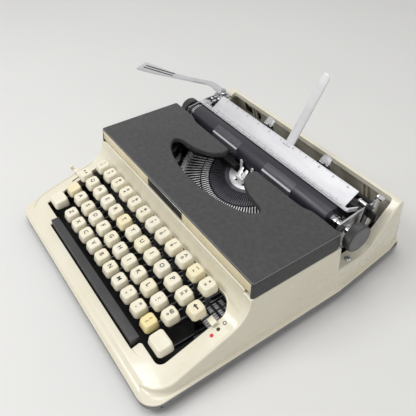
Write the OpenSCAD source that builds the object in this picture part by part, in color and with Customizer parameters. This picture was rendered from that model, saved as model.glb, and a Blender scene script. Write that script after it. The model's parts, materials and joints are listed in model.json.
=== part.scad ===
// Portable typewriter with a moulded body, a hinged ribbon cover and a sliding carriage.
// Millimetres. +X is the typist's right, +Y runs to the rear, +Z is up.
// The origin is the centre of the four foot screws, on the table.

/* [Body] */
// Width over the bottom lip
body_w = 302; // [290:1:320]
// Depth over the bottom lip
body_d = 325; // [318:1:340]
// Width over the lip at the rear, where the sides draw in
rear_w = 280; // [260:1:300]
// Y of the front of the lip
front_y = -160; // [-164:1:-158]
// Underside of the lip above the table
lip_z = 12; // [11:0.5:14]
// Height of the lip's upright edge
lip_h = 3.5; // [2:0.5:5]
// Wall of the moulded body
wall = 2.5; // [2:0.1:3]
// Height of the front edge of the keyboard deck
deck_z = 20; // [18:0.5:22]
// Slope of the keyboard deck in degrees
deck_angle = 17; // [15:0.5:19]
// Height of the tops of the side walls
side_z = 72; // [70:0.5:74]
// Inward lean of the side walls in degrees
side_lean = 5.7; // [3:0.1:7]
// Y of the wall that closes the deck at the rear
rise_y = -50; // [-51:0.5:-49]
// Radius of the sweep from the deck up to that wall
sweep_r = 30; // [24:1:32]
// Y where the side walls drop to the carriage ledge
notch_y = 56; // [53:0.5:56]
// Height of the carriage ledge
ledge_z = 42; // [38:0.5:43]
// Height of the rim of the rear wall
rim_z = 83.5; // [78:0.5:86]
// Half width of the carriage well
well_x = 131; // [130.5:0.5:134]

/* [Feet and base] */
// Distance between the foot screws, left to right
foot_span_x = 236; // [220:1:244]
// Distance between the foot screws, front to rear
foot_span_y = 260; // [240:1:270]
// Height of the rubber feet
foot_h = 9; // [8:0.5:10]
// Radius of a rubber foot
foot_r = 9; // [7:0.5:11]
// Radius of a foot screw's hole
foot_hole_r = 2.1; // [1.6:0.1:2.6]
// Thickness of the base pan
pan_t = 1.5; // [1:0.1:2]

/* [Ribbon cover] */
// Height of the top of the ribbon cover
cover_z = 90; // [89:0.5:93]
// Sheet thickness of the ribbon cover
cover_t = 1.8; // [1.4:0.1:2.2]
// Y of the rear edge of the ribbon cover
cover_rear_y = 54; // [50:0.5:55]
// Y of the cover's hinge
hinge_y = 45; // [42:0.5:46]
// Drop of the hinge below the cover's top
hinge_drop = 5.5; // [5:0.1:7]
// Radius of the hinge studs
hinge_r = 1.5; // [1.2:0.1:2]
// Half width of the type basket's mouth
mouth_x = 75; // [70:1:80]
// Length of the bare name plate
plate_l = 65; // [50:1:80]

/* [Keyboard] */
// Distance between neighbouring keys
key_pitch = 19; // [18:0.1:19.4]
// X of the first key of the rear row
key_x = -106.4; // [-108:0.1:-105]
// Size of a key cap's foot
cap_base = 15.5; // [14:0.1:16.5]
// Size of a key cap's top
cap_top = 13; // [11:0.1:14]
// Height of a key cap
cap_h = 9; // [8:0.1:10]
// Thickness of a key lever
lever_t = 1.2; // [0.8:0.1:1.6]
// Depth of a key lever
lever_h = 5; // [4:0.1:5.5]
// Y of the fulcrum rod of the key levers
fulcrum_y = 40; // [36:0.5:42]
// Height of the fulcrum rod
fulcrum_z = 26.5; // [26:0.1:27.5]
// Radius of the fulcrum rod
fulcrum_r = 2; // [1.5:0.1:2.5]
// Length of the space bar
space_l = 186; // [170:1:188]

/* [Type basket] */
// Height of the centre of the segment's arc
seg_z = 68; // [67:0.5:69]
// Y of the centre of the segment's arc
seg_y = 66; // [65:0.5:67]
// Slope of the segment, down to the front, in degrees
seg_tilt = 18; // [17:0.5:19]
// Outer radius of the segment
seg_r = 50; // [49:0.5:51]
// Radius of the type bars' pivots
pivot_r = 44; // [43:0.5:45]
// Number of type bars, an odd count with one in the middle
bars = 43; // [31:2:43]
// Radius that the ends of the resting type bars reach
bar_end_r = 87; // [84:0.5:88]

/* [Carriage] */
// Radius of the platen
platen_r = 14.5; // [13.5:0.1:14.8]
// Length of the platen
platen_l = 228; // [220:1:229]
// Y of the platen's axis
platen_y = 72.5; // [72.5:0.5:74]
// Height of the platen's axis
platen_z = 77.5; // [76:0.5:79]
// Radius of the platen's shaft
shaft_r = 4; // [3:0.1:5]
// Radius of the platen knobs
knob_r = 14.4; // [13:0.1:14.6]
// Thickness of the right platen knob
knob_t = 12; // [8:0.5:14]
// Gap between the platen's end and the carriage end plate
plate_gap = 13; // [12:0.5:14]
// Thickness of the carriage end plates
plate_t = 2; // [1.5:0.1:2.2]
// Y of the rear edge of the paper table
table_y = 106; // [103:0.5:106]
// Height of the rear edge of the paper table
table_z = 95.5; // [93:0.5:97]
// Length of the paper support arm
support_l = 100; // [80:1:110]
// Lean of the paper support arm to the right in degrees
support_lean = 20; // [10:1:25]
// X of the left margin stop
stop_left_x = -34; // [-40:1:-30]
// X of the right margin stop
stop_right_x = 57; // [50:1:62]
// X of the outer end of the return lever
return_tip_x = -248; // [-255:1:-235]
// Y of the outer end of the return lever
return_tip_y = 62; // [56:1:66]

/* [Fits] */
// Radial clearance of a turning fit
run = 0.05; // [0.02:0.01:0.1]
// Clearance of a sliding fit
slide = 0.3; // [0.2:0.05:0.4]
// Gap between the cover and what it closes on
seam = 0.5; // [0.3:0.1:0.8]

/* [Hidden] */
$fn = 48;
over = 1;

// Body values
rear_y = front_y + body_d;
front_corner_r = 17;
rear_corner_r = 8;
taper_y = notch_y + 6;
deck_y = front_y + 7.5;
lip_bevel = [3, 1.5];
rim_t = 5.5;
rim_y = rear_y - 27;
ramp_y = rim_y - 36;
rise_top_z = side_z + 3.5;
pan_inset = 0.3;
pan_rim = 4;
pan_top = foot_h + pan_t;
sweep_cy = rise_y - sweep_r;
sweep_cz = deck_at(sweep_cy + sweep_r * sin(deck_angle)) + sweep_r * cos(deck_angle);
screw_x = 139.5;
screw_y = notch_y + 19;
screw_r = 1.9;
boss_r = 4.2;
touch_x = -135;
touch_y = -86;
selector_y = -77;

// Frame values
frame_x = 122.5;
frame_t = 2;
frame_top = 64;
rail_seat_z = 44;
bar_z = 37;
bar_t = 3;
bar_y = [49, 60];
post_x = 60;
post_y = 52;
post_r = 2;
comb_y = -36;
comb_t = 2;
hinge_z = cover_z - hinge_drop;
ear_r = 2.9;
lug_x = [frame_x - 4.5, frame_x - slide];

// Keyboard values: Y and height of each row's cap tops, and the first key's shift in pitches
row_y = [-67, -85.7, -103.8, -120.5];
row_z = [67.5, 58.3, 47.9, 39.8];
row_shift = [0, -0.5, -0.25, 1.25];
row_n = [12, 13, 12, 10];
cap_tilt = 8;
t_index = 5;
hub_r = 4.5;
stem_w = 5;
shift_left_x = -121;
shift_right_x = 117.5;
shift_cap_left = -114;
shift_cap_right = 112;
shift_cap_w = 22;
shift_cap_d = 17;
shift_cap_y = row_y[3] - 2;
shift_rail_y = 20;
shift_rail_z = 15;
opening_rear_y = row_y[0] + cap_base / 2 + 3.3;
opening_x = 129;
slot_y = [front_y + 16, front_y + 27];
slot_x = space_l / 2 + 2.5;
bar_top_z = 30.5;
arm_x = frame_x + frame_t + 3.5;

// Basket values
slot_w = 1.3;
slot_floor = -5;
seg_t = 7;
seg_in = 25;
seat_r = 29;
seg_cut = -13.8;
seat_z = -4;
plate_top = -2.4;
pivot_z = -2;
bar_t1 = 1;
bar_fan = 130;
spool_x = 92;
spool_y = -2;
spool_r = 23;
spindle_r = 2.5;
spool_z = [62, 76];
cup_z = 60;

// Carriage values
plate_x = platen_l / 2 + plate_gap;
plate_y = [platen_y - 12.5, platen_y + 45.5];
rail_y = 94;
rail_head = [12, 5];
rail_stem = [6, 3.2];
rail_inset = 1;
rail_x = plate_x - rail_inset;
feed_r = 5;
feed_y = platen_y - 2.5;
feed_z = platen_z - sqrt(pow(platen_r + feed_r + slide, 2) - 6.25);
feed_shaft_r = 1.5;
bed_z = 47;
table_gap = 0.9;
table_t = 1.2;
table_x = platen_l / 2 - 2;
tab_y = [83, 87.5];
tab_z = [62, 66];
bail_y = 94;
bail_z = 86;
bail_pin_r = 1;
bail_x = plate_x - 5.5;
bail_gap = 0.6;
bail_t = 1;
bail_angle = 63;
margin_y = [111, 115];
margin_z = [80, 86];
support_x = 10;
support_z = table_z - 3.5;
support_pin_r = 1.5;
lever_pivot = [7 - plate_x, 111];
lever_elbow = [-150, 113];
finger_plate = [-197, 84];
lever_z = [92.4, 95];
lever_post_r = 3;
shelf_z = 90;
release_y = 104;
release_z = 70;
freer_y = 90;
freer_z = 62;
stud_r = 1.5;
knob_gap = 7;
drum_x = -80;
drum_y = rear_y - 41;
drum_r = 20;
drum_post_r = 3;
wheel_y = rail_y + 12;
wheel_z = 33;
wheel_r = 10.5;
bell_x = 85;
bell_y = rear_y - 37;
bell_r = 16;

// Height of the deck's top over a given Y
function deck_at(y) = deck_z + (y - deck_y) * tan(deck_angle);
function arc(cx, cy, r, a0, a1, n) =
  [for (i = [0:n]) let (a = a0 + (a1 - a0) * i / n) [cx + r * cos(a), cy + r * sin(a)]];
function mirror_x(pts) = [for (i = [len(pts) - 1:-1:0]) [-pts[i][0], pts[i][1]]];
function key_at(row, i) = key_x + (row_shift[row] + i) * key_pitch;
// Keys of a row that press together: the letter T and the keys at the ends of the rows are apart
function plain_keys(row) =
  [for (i = [0:row_n[row] - 1])
    if (row == 0 || row == 3 || (row == 1 && i > 0 && i != t_index && i < row_n[1] - 1)
      || (row == 2 && i > 0)) i];
function all_lever_x() = concat(
  [for (row = [0:3]) for (i = [0:row_n[row] - 1]) key_at(row, i)],
  [shift_left_x, shift_right_x]);
function bar_angle(i) = 180 + (180 - bar_fan) / 2 + bar_fan * i / (bars - 1);

// Extrusions of outlines given in Y, Z and in X, Z
module slab_x(x0, x1, pts) {
  translate([x0, 0, 0]) rotate([90, 0, 90]) linear_extrude(x1 - x0) polygon(pts);
}
module slab_y(y0, y1, pts) {
  translate([0, y1, 0]) rotate([90, 0, 0]) linear_extrude(y1 - y0) polygon(pts);
}
module rod_x(x0, x1, y, z, r) {
  translate([x0, y, z]) rotate([0, 90, 0]) cylinder(h = x1 - x0, r = r);
}
module rod_y(y0, y1, x, z, r) {
  translate([x, y1, z]) rotate([90, 0, 0]) cylinder(h = y1 - y0, r = r);
}
module box(x, y, z) {
  translate([x[0], y[0], z[0]]) cube([x[1] - x[0], y[1] - y[0], z[1] - z[0]]);
}
module both_sides() {
  children();
  mirror([1, 0, 0]) children();
}
// Flat bar through a list of points, round at each one, with a width at each point
module bar2d(pts, w) {
  for (i = [0:len(pts) - 1]) translate(pts[i]) circle(r = w[i] / 2);
  for (i = [0:len(pts) - 2]) {
    d = (pts[i + 1] - pts[i]) / norm(pts[i + 1] - pts[i]);
    n = [-d[1], d[0]] / 2;
    polygon([pts[i] + n * w[i], pts[i + 1] + n * w[i + 1], pts[i + 1] - n * w[i + 1], pts[i] - n * w[i]]);
  }
}

// Body outlines, moved inward by i
function plan_half(i) =
  let (h = body_w / 2 - i, f = front_y + i, r = rear_y - i, rf = front_corner_r - i,
    rr = rear_corner_r - i, slope = (body_w - rear_w) / 2 / (rear_y - taper_y), a = atan(slope),
    yc = r - rr, xc = h - slope * (yc - taper_y) - rr / cos(a))
  concat(arc(h - rf, f + rf, rf, 270, 360, 8), [[h, taper_y]], arc(xc, yc, rr, a, 90, 6));
function plan(i) = concat(plan_half(i), mirror_x(plan_half(i)));
function profile(i) =
  let (base = i > 0 ? lip_z - over : lip_z)
  concat(
    [[front_y + i, base], [front_y + i, lip_z + lip_h - 0.6 * i],
      [front_y + lip_bevel[0] + 0.8 * i, lip_z + lip_h + lip_bevel[1] - 0.9 * i],
      [deck_y + 0.4 * i, deck_z - i]],
    arc(sweep_cy, sweep_cz, sweep_r + i, deck_angle - 90, -4, 6),
    [[rise_y + i, side_z - i], [notch_y - i, side_z - i], [notch_y - i, ledge_z - i],
      [ramp_y + 0.4 * i, ledge_z - i], [rim_y + 0.7 * i, rim_z - 1.5 * i],
      [rim_y + rim_t - 0.7 * i, rim_z - 1.5 * i],
      [rear_y - 2 - i, lip_z + lip_h + 0.5], [rear_y - i, base]]);
function side_at(z, i) =
  body_w / 2 - lip_bevel[0] - i - (z - lip_z - lip_h - lip_bevel[1]) * tan(side_lean);
function section(i) =
  let (half = [[body_w / 2 - i, lip_z - over], [body_w / 2 - i, lip_z + lip_h - 0.6 * i],
    [side_at(lip_z + lip_h + lip_bevel[1], i), lip_z + lip_h + lip_bevel[1]],
    [side_at(cover_z, i), cover_z]])
  concat(half, mirror_x(half));

module body_block(i) {
  intersection() {
    translate([0, 0, lip_z - over]) linear_extrude(cover_z) polygon(plan(i));
    slab_x(-body_w, body_w, profile(i));
    slab_y(front_y, rear_y, section(i));
  }
}
module deck_frame(x, y) {
  translate([x, y, deck_at(y)]) rotate([deck_angle, 0, 0]) children();
}

module base_pan() {
  color("dimgray") difference() {
    translate([0, 0, foot_h]) linear_extrude(lip_z - foot_h) polygon(plan(pan_inset));
    translate([0, 0, pan_top]) linear_extrude(lip_z) polygon(plan(pan_inset + pan_rim));
    foot_holes(lip_z);
  }
}
module foot_holes(h) {
  for (x = [-1, 1]) for (y = [-1, 1])
    translate([x * foot_span_x / 2, y * foot_span_y / 2, -over])
      cylinder(h = h + 2 * over, r = foot_hole_r);
}
module rubber_feet() {
  color("black") difference() {
    for (x = [-1, 1]) for (y = [-1, 1])
      translate([x * foot_span_x / 2, y * foot_span_y / 2, 0])
        cylinder(h = foot_h, r1 = foot_r - 1, r2 = foot_r);
    foot_holes(foot_h);
  }
}

// Outline of the keyboard opening, seen from above
function opening() =
  let (left = -opening_x, right = opening_x - 2, front = front_y + 26)
  concat(
    [[-slot_x, slot_y[0]], [slot_x, slot_y[0]], [slot_x, slot_y[1] - 2], [slot_x + 4, front]],
    arc(right - 8, front + 8, 8, 270, 360, 5),
    arc(right - 14, opening_rear_y - 14, 14, 0, 90, 6),
    [[left, opening_rear_y], [left, front], [-slot_x, front]]);
module body_shell() {
  color("cornsilk") difference() {
    union() {
      difference() {
        body_block(0);
        body_block(wall);
        box([-well_x, well_x], [rise_y + wall, rim_y], [0, cover_z + over]);
      }
      box([-well_x - over, well_x + over], [rise_y, rise_y + wall], [side_z - 4, rise_top_z]);
      both_sides() translate([screw_x, screw_y, pan_top])
        cylinder(h = ledge_z - pan_top - wall / 2, r = boss_r);
      for (x = [-96, -90, 90, 96])
        slab_x(x, x + 2, [[rim_y + 1, rim_z - 2], [rim_y + rim_t - 2, rim_z - 2],
          [rear_y - 14, ledge_z + 10], [rear_y - 17, ledge_z + 10]]);
    }
    translate([0, 0, lip_z]) linear_extrude(side_z) polygon(opening());
    both_sides() translate([screw_x, screw_y, pan_top - over])
      cylinder(h = side_z, r = screw_r + run);
    deck_frame(touch_x, touch_y) cube([2.4, 24, 12], center = true);
  }
}
module shell_screws() {
  color("gray") both_sides() translate([screw_x, screw_y, 0]) difference() {
    union() {
      translate([0, 0, pan_top + 4]) cylinder(h = ledge_z - pan_top - 4, r = screw_r);
      translate([0, 0, ledge_z]) cylinder(h = 2.2, r = 3.6);
    }
    translate([0, 0, ledge_z + 2.2]) cube([10, 1, 2], center = true);
  }
}

// Mouth of the type basket and the recess along the platen, seen from above
function mouth() =
  let (cy = 13, b = 27, n = 16, neck = 20.5,
    wing = [[mouth_x - 3, 13.6], [58, 16], [45, 19], [31, 26], [23.5, 33], [neck, 40]])
  concat([for (k = [0:n]) let (a = 180 + 180 * k / n) [mouth_x * cos(a), cy + b * sin(a)]],
    wing, [[neck, cover_rear_y + over], [-neck, cover_rear_y + over]], mirror_x(wing));
function platen_recess() =
  let (half = [[82, hinge_y + 2], [92, hinge_y + 3.5], [100, cover_rear_y + over]])
  concat(half, mirror_x(half));
cover_front_y = rise_y + 1.5;
module ribbon_cover() {
  lug_z = [hinge_z - 3, cover_z - cover_t / 2];
  flange_cut = hinge_z - side_z - seam;
  color("dimgray") difference() {
    union() {
      difference() {
        intersection() {
          slab_y(cover_front_y, cover_rear_y, section(0));
          box([-body_w, body_w], [cover_front_y, cover_rear_y], [side_z + seam, cover_z]);
        }
        intersection() {
          slab_y(cover_front_y - over, cover_rear_y + over, section(cover_t));
          box([-body_w, body_w], [front_y, rear_y], [0, cover_z - cover_t]);
        }
      }
      both_sides() box(lug_x, [hinge_y - 3.5, hinge_y + 3], lug_z);
    }
    translate([0, 0, cover_z - 2 * cover_t]) linear_extrude(4 * cover_t) polygon(mouth());
    translate([0, 0, cover_z - 2 * cover_t]) linear_extrude(4 * cover_t) polygon(platen_recess());
    rod_x(-frame_x, frame_x, hinge_y, hinge_z, hinge_r + run);
    slab_x(-body_w, body_w, [[hinge_y, side_z], [hinge_y, side_z + seam],
      [cover_rear_y + over, hinge_z - sqrt(pow(flange_cut, 2) - pow(cover_rear_y + over - hinge_y, 2))],
      [cover_rear_y + over, side_z]]);
  }
}
module cover_fascia() {
  color("wheat") intersection() {
    slab_y(cover_front_y, cover_front_y + 2, section(cover_t));
    box([-body_w, body_w], [cover_front_y, rear_y], [rise_top_z + seam, cover_z - cover_t]);
  }
}
module nameplate() {
  color("black")
    box([-plate_l / 2, plate_l / 2], [cover_front_y - 0.7, cover_front_y],
      [rise_top_z + 2, cover_z - cover_t]);
}

// Two upright plates that carry the works, with an ear at each cover hinge
module side_frames() {
  outline = concat(
    [[-96, pan_top], [112, pan_top], [112, rail_seat_z], [hinge_y + ear_r, rail_seat_z],
      [hinge_y + ear_r, hinge_z]],
    arc(hinge_y, hinge_z, ear_r, 0, 180, 10),
    [[hinge_y - ear_r, frame_top], [-40, frame_top], [-52, 46], [-60, 34], [-96, 34]]);
  color("silver") difference() {
    both_sides() slab_x(frame_x, frame_x + frame_t, outline);
    rod_x(-body_w, body_w, fulcrum_y, fulcrum_z, fulcrum_r);
    rod_x(-body_w, body_w, hinge_y, hinge_z, hinge_r);
  }
}
module cross_bar() {
  color("silver") difference() {
    box([-frame_x, frame_x], bar_y, [bar_z, bar_z + bar_t]);
    both_sides() translate([post_x, post_y, 0]) cylinder(h = cover_z, r = post_r);
    translate([0, bar_y[1] - 4, 0]) cylinder(h = cover_z, r = 1.2 + run);
  }
}
// Rods and posts pressed into the frame and the pan
module frame_rods() {
  color("lightgray") {
    rod_x(-arm_x - 4, arm_x + 4, fulcrum_y, fulcrum_z, fulcrum_r);
    rod_x(-frame_x, frame_x, -46, 55, 2.5);
    rod_x(-frame_x, frame_x, rail_y, 18, 2.5);
    both_sides() rod_x(lug_x[0] + 0.5, frame_x + frame_t, hinge_y, hinge_z, hinge_r);
    both_sides() translate([post_x, post_y, bar_z]) cylinder(h = 72 - bar_z, r = post_r);
    translate([drum_x, drum_y, pan_top]) cylinder(h = 5, r = drum_post_r + 3);
    translate([drum_x, drum_y, pan_top]) cylinder(h = 21, r = drum_post_r);
    translate([bell_x, bell_y, pan_top]) cylinder(h = 14, r = 3);
    translate([bell_x, bell_y, pan_top]) cylinder(h = 18, r = 1.8);
  }
}
module lever_comb() {
  color("gray") difference() {
    box([-frame_x, frame_x], [comb_y, comb_y + comb_t], [pan_top, 34]);
    for (x = all_lever_x())
      box([x - lever_t / 2 - slide, x + lever_t / 2 + slide], [comb_y - over, comb_y + comb_t + over],
        [pan_top + 2.5, fulcrum_z + lever_h / 2 + 1.2]);
  }
}

// The basket is drawn flat in the segment's own plane and then tilted
module basket() {
  translate([0, seg_y, seg_z]) rotate([seg_tilt, 0, 0]) children();
}
module segment() {
  ear_z = [50, 56];
  color("dimgray") difference() {
    union() {
      basket() difference() {
        translate([0, 0, -seg_t]) cylinder(h = seg_t, r = seg_r, $fn = 96);
        translate([0, 0, seat_z]) cylinder(h = seg_t, r = seat_r, $fn = 96);
        translate([0, 0, -2 * seg_t]) cylinder(h = 3 * seg_t, r = seg_in, $fn = 96);
        translate([-seg_r - over, seg_cut, -2 * seg_t]) cube([2 * seg_r + 2, 2 * seg_r, 3 * seg_t]);
        for (i = [0:bars - 1]) rotate(bar_angle(i))
          translate([seat_r + 4, -slot_w / 2, slot_floor]) cube([seg_r, slot_w, seg_t]);
      }
      both_sides() box([40, post_x + 4.5], [post_y - 3, post_y + 3.5], ear_z);
    }
    both_sides() translate([post_x, post_y, 0]) cylinder(h = cover_z, r = post_r + run);
  }
}
module segment_plate() {
  color("white") basket() difference() {
    translate([0, 0, seat_z]) cylinder(h = plate_top - seat_z, r = seat_r - 0.3, $fn = 96);
    translate([-seg_r, seg_cut, -seg_t]) cube([2 * seg_r, 2 * seg_r, 2 * seg_t]);
    for (x = [-6, 6]) translate([x, seg_cut - 7, -seg_t]) cylinder(h = 2 * seg_t, r = 1.6);
  }
}
// One type bar along +X of the basket's plane, with its type head
module typebar() {
  translate([pivot_r - 2.5, -bar_t1 / 2, pivot_z - 1.5]) cube([bar_end_r - pivot_r, bar_t1, 3]);
  translate([bar_end_r - 5, -1.7, pivot_z - 1.5]) cube([5, 3.4, 8]);
}
module typebars() {
  color("silver") basket() for (i = [0:bars - 1]) if (i != (bars - 1) / 2)
    rotate(bar_angle(i)) typebar();
}
module typebar_t() {
  color("silver") basket() rotate(270) typebar();
}
module type_guide() {
  foot = [-20, seg_cut - 0.6];
  guide_y = [51.6, 54.2];
  color("white") difference() {
    union() {
      basket() box([-6.5, 6.5], foot, [plate_top, plate_top + 1.6]);
      box([-6.5, 6.5], guide_y, [seg_z - 6.2, 84]);
    }
    box([-1.3, 1.3], [guide_y[0] - over, guide_y[1] + over], [seg_z - 2, cover_z]);
    box([-2.6, 2.6], [guide_y[0] - over, guide_y[1] + over], [76, cover_z]);
    rod_y(guide_y[0] - over, guide_y[1] + over, 4.6, 80, 0.8);
  }
}
// Clear wings that hold a card against the platen, on brackets on the guide posts
module card_holders() {
  r0 = max(platen_r, knob_r) + 0.8;
  wing_end = 128;
  wing = concat(arc(platen_y, platen_z, r0, wing_end, 180, 8),
    arc(platen_y, platen_z, r0 + 1, 180, wing_end, 8));
  upright = [platen_y - r0 - 1, platen_y - r0];
  color("lightblue", 0.6) both_sides() difference() {
    union() {
      box([14, 68], [post_y - 3, upright[1]], [69, 71]);
      box([22, 68], upright, [69, platen_z + 0.1]);
      slab_x(22, 68, wing);
    }
    translate([post_x, post_y, 0]) cylinder(h = cover_z, r = post_r);
  }
}

module spool_cups() {
  color("gray") both_sides() translate([spool_x, spool_y, 0]) {
    difference() {
      translate([0, 0, cup_z]) cylinder(h = 7, r = spool_r + 3);
      translate([0, 0, cup_z + 1.2]) cylinder(h = 7, r = spool_r + 2);
    }
    translate([0, 0, cup_z]) cylinder(h = 22, r = spindle_r);
    box([spool_r, frame_x - spool_x], [-6, 6], [cup_z, cup_z + 1.2]);
  }
}
// Spool with the wound ribbon between its flanges
module spool(x, pack_r) {
  translate([x, spool_y, 0]) difference() {
    union() {
      translate([0, 0, spool_z[0]]) cylinder(h = 1, r = spool_r);
      translate([0, 0, spool_z[0]]) cylinder(h = spool_z[1] - spool_z[0], r = pack_r);
      translate([0, 0, spool_z[1] - 1]) cylinder(h = 1, r = spool_r);
    }
    translate([0, 0, cup_z]) cylinder(h = 30, r = spindle_r + run);
    for (a = [0:120:240]) rotate(a) translate([pack_r / 2, 0, cup_z]) cylinder(h = 30, r = 1.5);
  }
}
module spool_left() {
  color("black") spool(-spool_x, 19);
}
module spool_right() {
  color("black") spool(spool_x, 13);
}
module ribbon_vibrator() {
  y = bar_y[1] - 4;
  color("silver") {
    translate([0, y, bar_z - 3]) cylinder(h = 64 - bar_z, r = 1.2);
    box([-11, 11], [y - 0.6, y + 0.6], [60, 63]);
    both_sides() box([8.5, 11], [y - 0.6, y + 0.6], [60, 80]);
  }
}

// Carriage: a channel that rides on a T rail
module rail_profile(c) {
  hw = rail_head[0] / 2 + c;
  sw = rail_stem[0] / 2 + c;
  top = rail_seat_z + rail_stem[1] + rail_head[1] + c;
  ledge = rail_seat_z + rail_stem[1] - c;
  polygon([[rail_y - sw, rail_seat_z - c], [rail_y + sw, rail_seat_z - c], [rail_y + sw, ledge],
    [rail_y + hw, ledge], [rail_y + hw, top], [rail_y - hw, top], [rail_y - hw, ledge],
    [rail_y - sw, ledge]]);
}
module along_x(x0, x1) {
  translate([x0, 0, 0]) rotate([90, 0, 90]) linear_extrude(x1 - x0) children();
}
module carriage_rail() {
  color("silver") {
    along_x(-rail_x, rail_x) rail_profile(0);
    box([-8, 8], [rail_y - 2, wheel_y], [rail_seat_z - 4, rail_seat_z]);
    box([-8, 8], [wheel_y - 2.5, wheel_y], [wheel_z - 6, rail_seat_z]);
    rod_y(wheel_y, wheel_y + 7, 0, wheel_z, stud_r);
  }
}
module carriage_frame() {
  leg = rail_head[0] / 2 + slide + 3;
  color("gray") difference() {
    union() {
      box([-plate_x, plate_x], [rail_y - leg, rail_y + leg], [rail_seat_z + 1, 56]);
      box([-plate_x, plate_x], [plate_y[0] + 1, rail_y - leg], [bed_z, bed_z + 2]);
    }
    along_x(-body_w, body_w) rail_profile(slide);
  }
}
module end_plate(rear_shelf) {
  outline = [[plate_y[0], bed_z], [plate_y[1] - 14, bed_z], [plate_y[1], platen_z - 5.5],
    [plate_y[1], shelf_z], [platen_y + 19.5, shelf_z], [plate_y[0] + 4, platen_z + 8.5],
    [plate_y[0], platen_z - 3.5]];
  difference() {
    union() {
      slab_x(plate_x, plate_x + plate_t, outline);
      if (rear_shelf) {
        box([plate_x - 15, plate_x + plate_t], [plate_y[1] - 15, plate_y[1]], [shelf_z, shelf_z + 2]);
        translate([-lever_pivot[0], lever_pivot[1], shelf_z]) cylinder(h = 9, r = lever_post_r);
      }
    }
    rod_x(0, body_w, platen_y, platen_z, shaft_r + run);
    rod_x(0, body_w, feed_y, feed_z, feed_shaft_r + run);
    rod_x(0, body_w, bail_y, bail_z, bail_pin_r + run);
    along_x(0, body_w) rail_profile(slide);
    if (!rear_shelf) {
      rod_x(0, body_w, release_y, release_z, stud_r + run);
      rod_x(0, body_w, freer_y, freer_z, stud_r + run);
    }
  }
}
module end_plate_left() {
  color("silver") mirror([1, 0, 0]) end_plate(true);
}
module end_plate_right() {
  color("silver") end_plate(false);
}
module platen_roller() {
  color("darkslategray") difference() {
    rod_x(-platen_l / 2, platen_l / 2, platen_y, platen_z, platen_r);
    rod_x(-body_w, body_w, platen_y, platen_z, shaft_r);
  }
}
module platen_shaft() {
  color("silver") rod_x(-knob_face() + 3, knob_face() - 3, platen_y, platen_z, shaft_r);
}
function knob_face() = plate_x + plate_t + knob_gap + knob_t;
module knob(thick) {
  x1 = knob_face();
  difference() {
    rod_x(x1 - thick, x1, platen_y, platen_z, knob_r);
    rod_x(0, x1 - 3, platen_y, platen_z, shaft_r);
    for (a = [0:12:348]) translate([0, platen_y, platen_z]) rotate([a, 0, 0])
      rod_x(x1 - thick - over, x1 - 2, 0, knob_r + 0.4, 0.9, $fn = 16);
  }
}
module knob_left() {
  color("dimgray") mirror([1, 0, 0]) knob(knob_t + 4);
}
module knob_right() {
  color("dimgray") knob(knob_t);
}
module ratchet_wheel() {
  n = 30;
  teeth = [for (k = [0:2 * n - 1]) let (a = 180 * k / n, r = k % 2 == 0 ? 11 : 9.8)
    [platen_y + r * cos(a), platen_z + r * sin(a)]];
  color("gray") difference() {
    slab_x(-platen_l / 2 - 6, -platen_l / 2 - 2.5, teeth);
    rod_x(-body_w, body_w, platen_y, platen_z, shaft_r);
  }
}
module feed_roller() {
  color("dimgray") {
    rod_x(-plate_x - plate_t, plate_x + plate_t, feed_y, feed_z, feed_shaft_r);
    for (x = [-80, 0, 80]) rod_x(x - 20, x + 20, feed_y, feed_z, feed_r);
  }
}
// Sheet that wraps behind the platen and opens into the paper table
module paper_table() {
  r = platen_r + table_gap;
  inner = arc(platen_y, platen_z, r, -70, 22, 10);
  outer = arc(platen_y, platen_z, r + table_t, 18, -70, 10);
  color("gainsboro") difference() {
    union() {
      slab_x(-table_x, table_x, concat(inner, [[table_y - 0.6, table_z], [table_y, table_z - 1]], outer));
      box([-plate_x, plate_x], tab_y, tab_z);
      box([support_x - 6, support_x + 6], [table_y - 5, table_y], [support_z - 4, table_z - 1.2]);
    }
    rod_y(0, rear_y, support_x, support_z, support_pin_r + run);
    rod_x(-body_w, body_w, platen_y, platen_z, r);
  }
}
module paper_support() {
  y0 = table_y + slide;
  color("white") translate([support_x, 0, support_z]) {
    rod_y(y0 - 4.5, y0 + 0.5, 0, 0, support_pin_r);
    translate([0, y0 + 2, 0]) rotate([90, 0, 0]) linear_extrude(2) rotate(-support_lean)
      bar2d([[0, 0], [0, support_l]], [11, 9]);
  }
}
module paper_bail() {
  r = platen_r + bail_gap;
  arm_w = 4;
  strip_end = bail_x + 1.5;
  tip = [platen_y + (r + 1) * cos(bail_angle), platen_z + (r + 1) * sin(bail_angle)];
  color("silver") {
    translate([0, platen_y, platen_z]) rotate([bail_angle, 0, 0])
      box([-strip_end, strip_end], [r, r + bail_t], [-4, 4]);
    both_sides() along_x(bail_x, strip_end) bar2d([tip, [bail_y, bail_z]], [arm_w, arm_w]);
    both_sides() rod_x(bail_x, plate_x + plate_t, bail_y, bail_z, bail_pin_r);
  }
}
module margin_rail() {
  color("dimgray") box([-plate_x, plate_x], margin_y, margin_z);
}
module margin_stop(x) {
  c = slide;
  color("silver") difference() {
    union() {
      box([x - 7, x + 7], [margin_y[0] - 1.4, margin_y[1] + 1.5], [margin_z[0] - 1.5, margin_z[1] + 2]);
      box([x - 5, x + 5], [margin_y[0] + 1, margin_y[0] + 3], [margin_z[1], margin_z[1] + 13]);
    }
    box([x - 8, x + 8], [margin_y[0] - c, margin_y[1] + c], [margin_z[0] - c, margin_z[1] + c]);
  }
}
module margin_stop_left() {
  margin_stop(stop_left_x);
}
module margin_stop_right() {
  margin_stop(stop_right_x);
}
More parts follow.
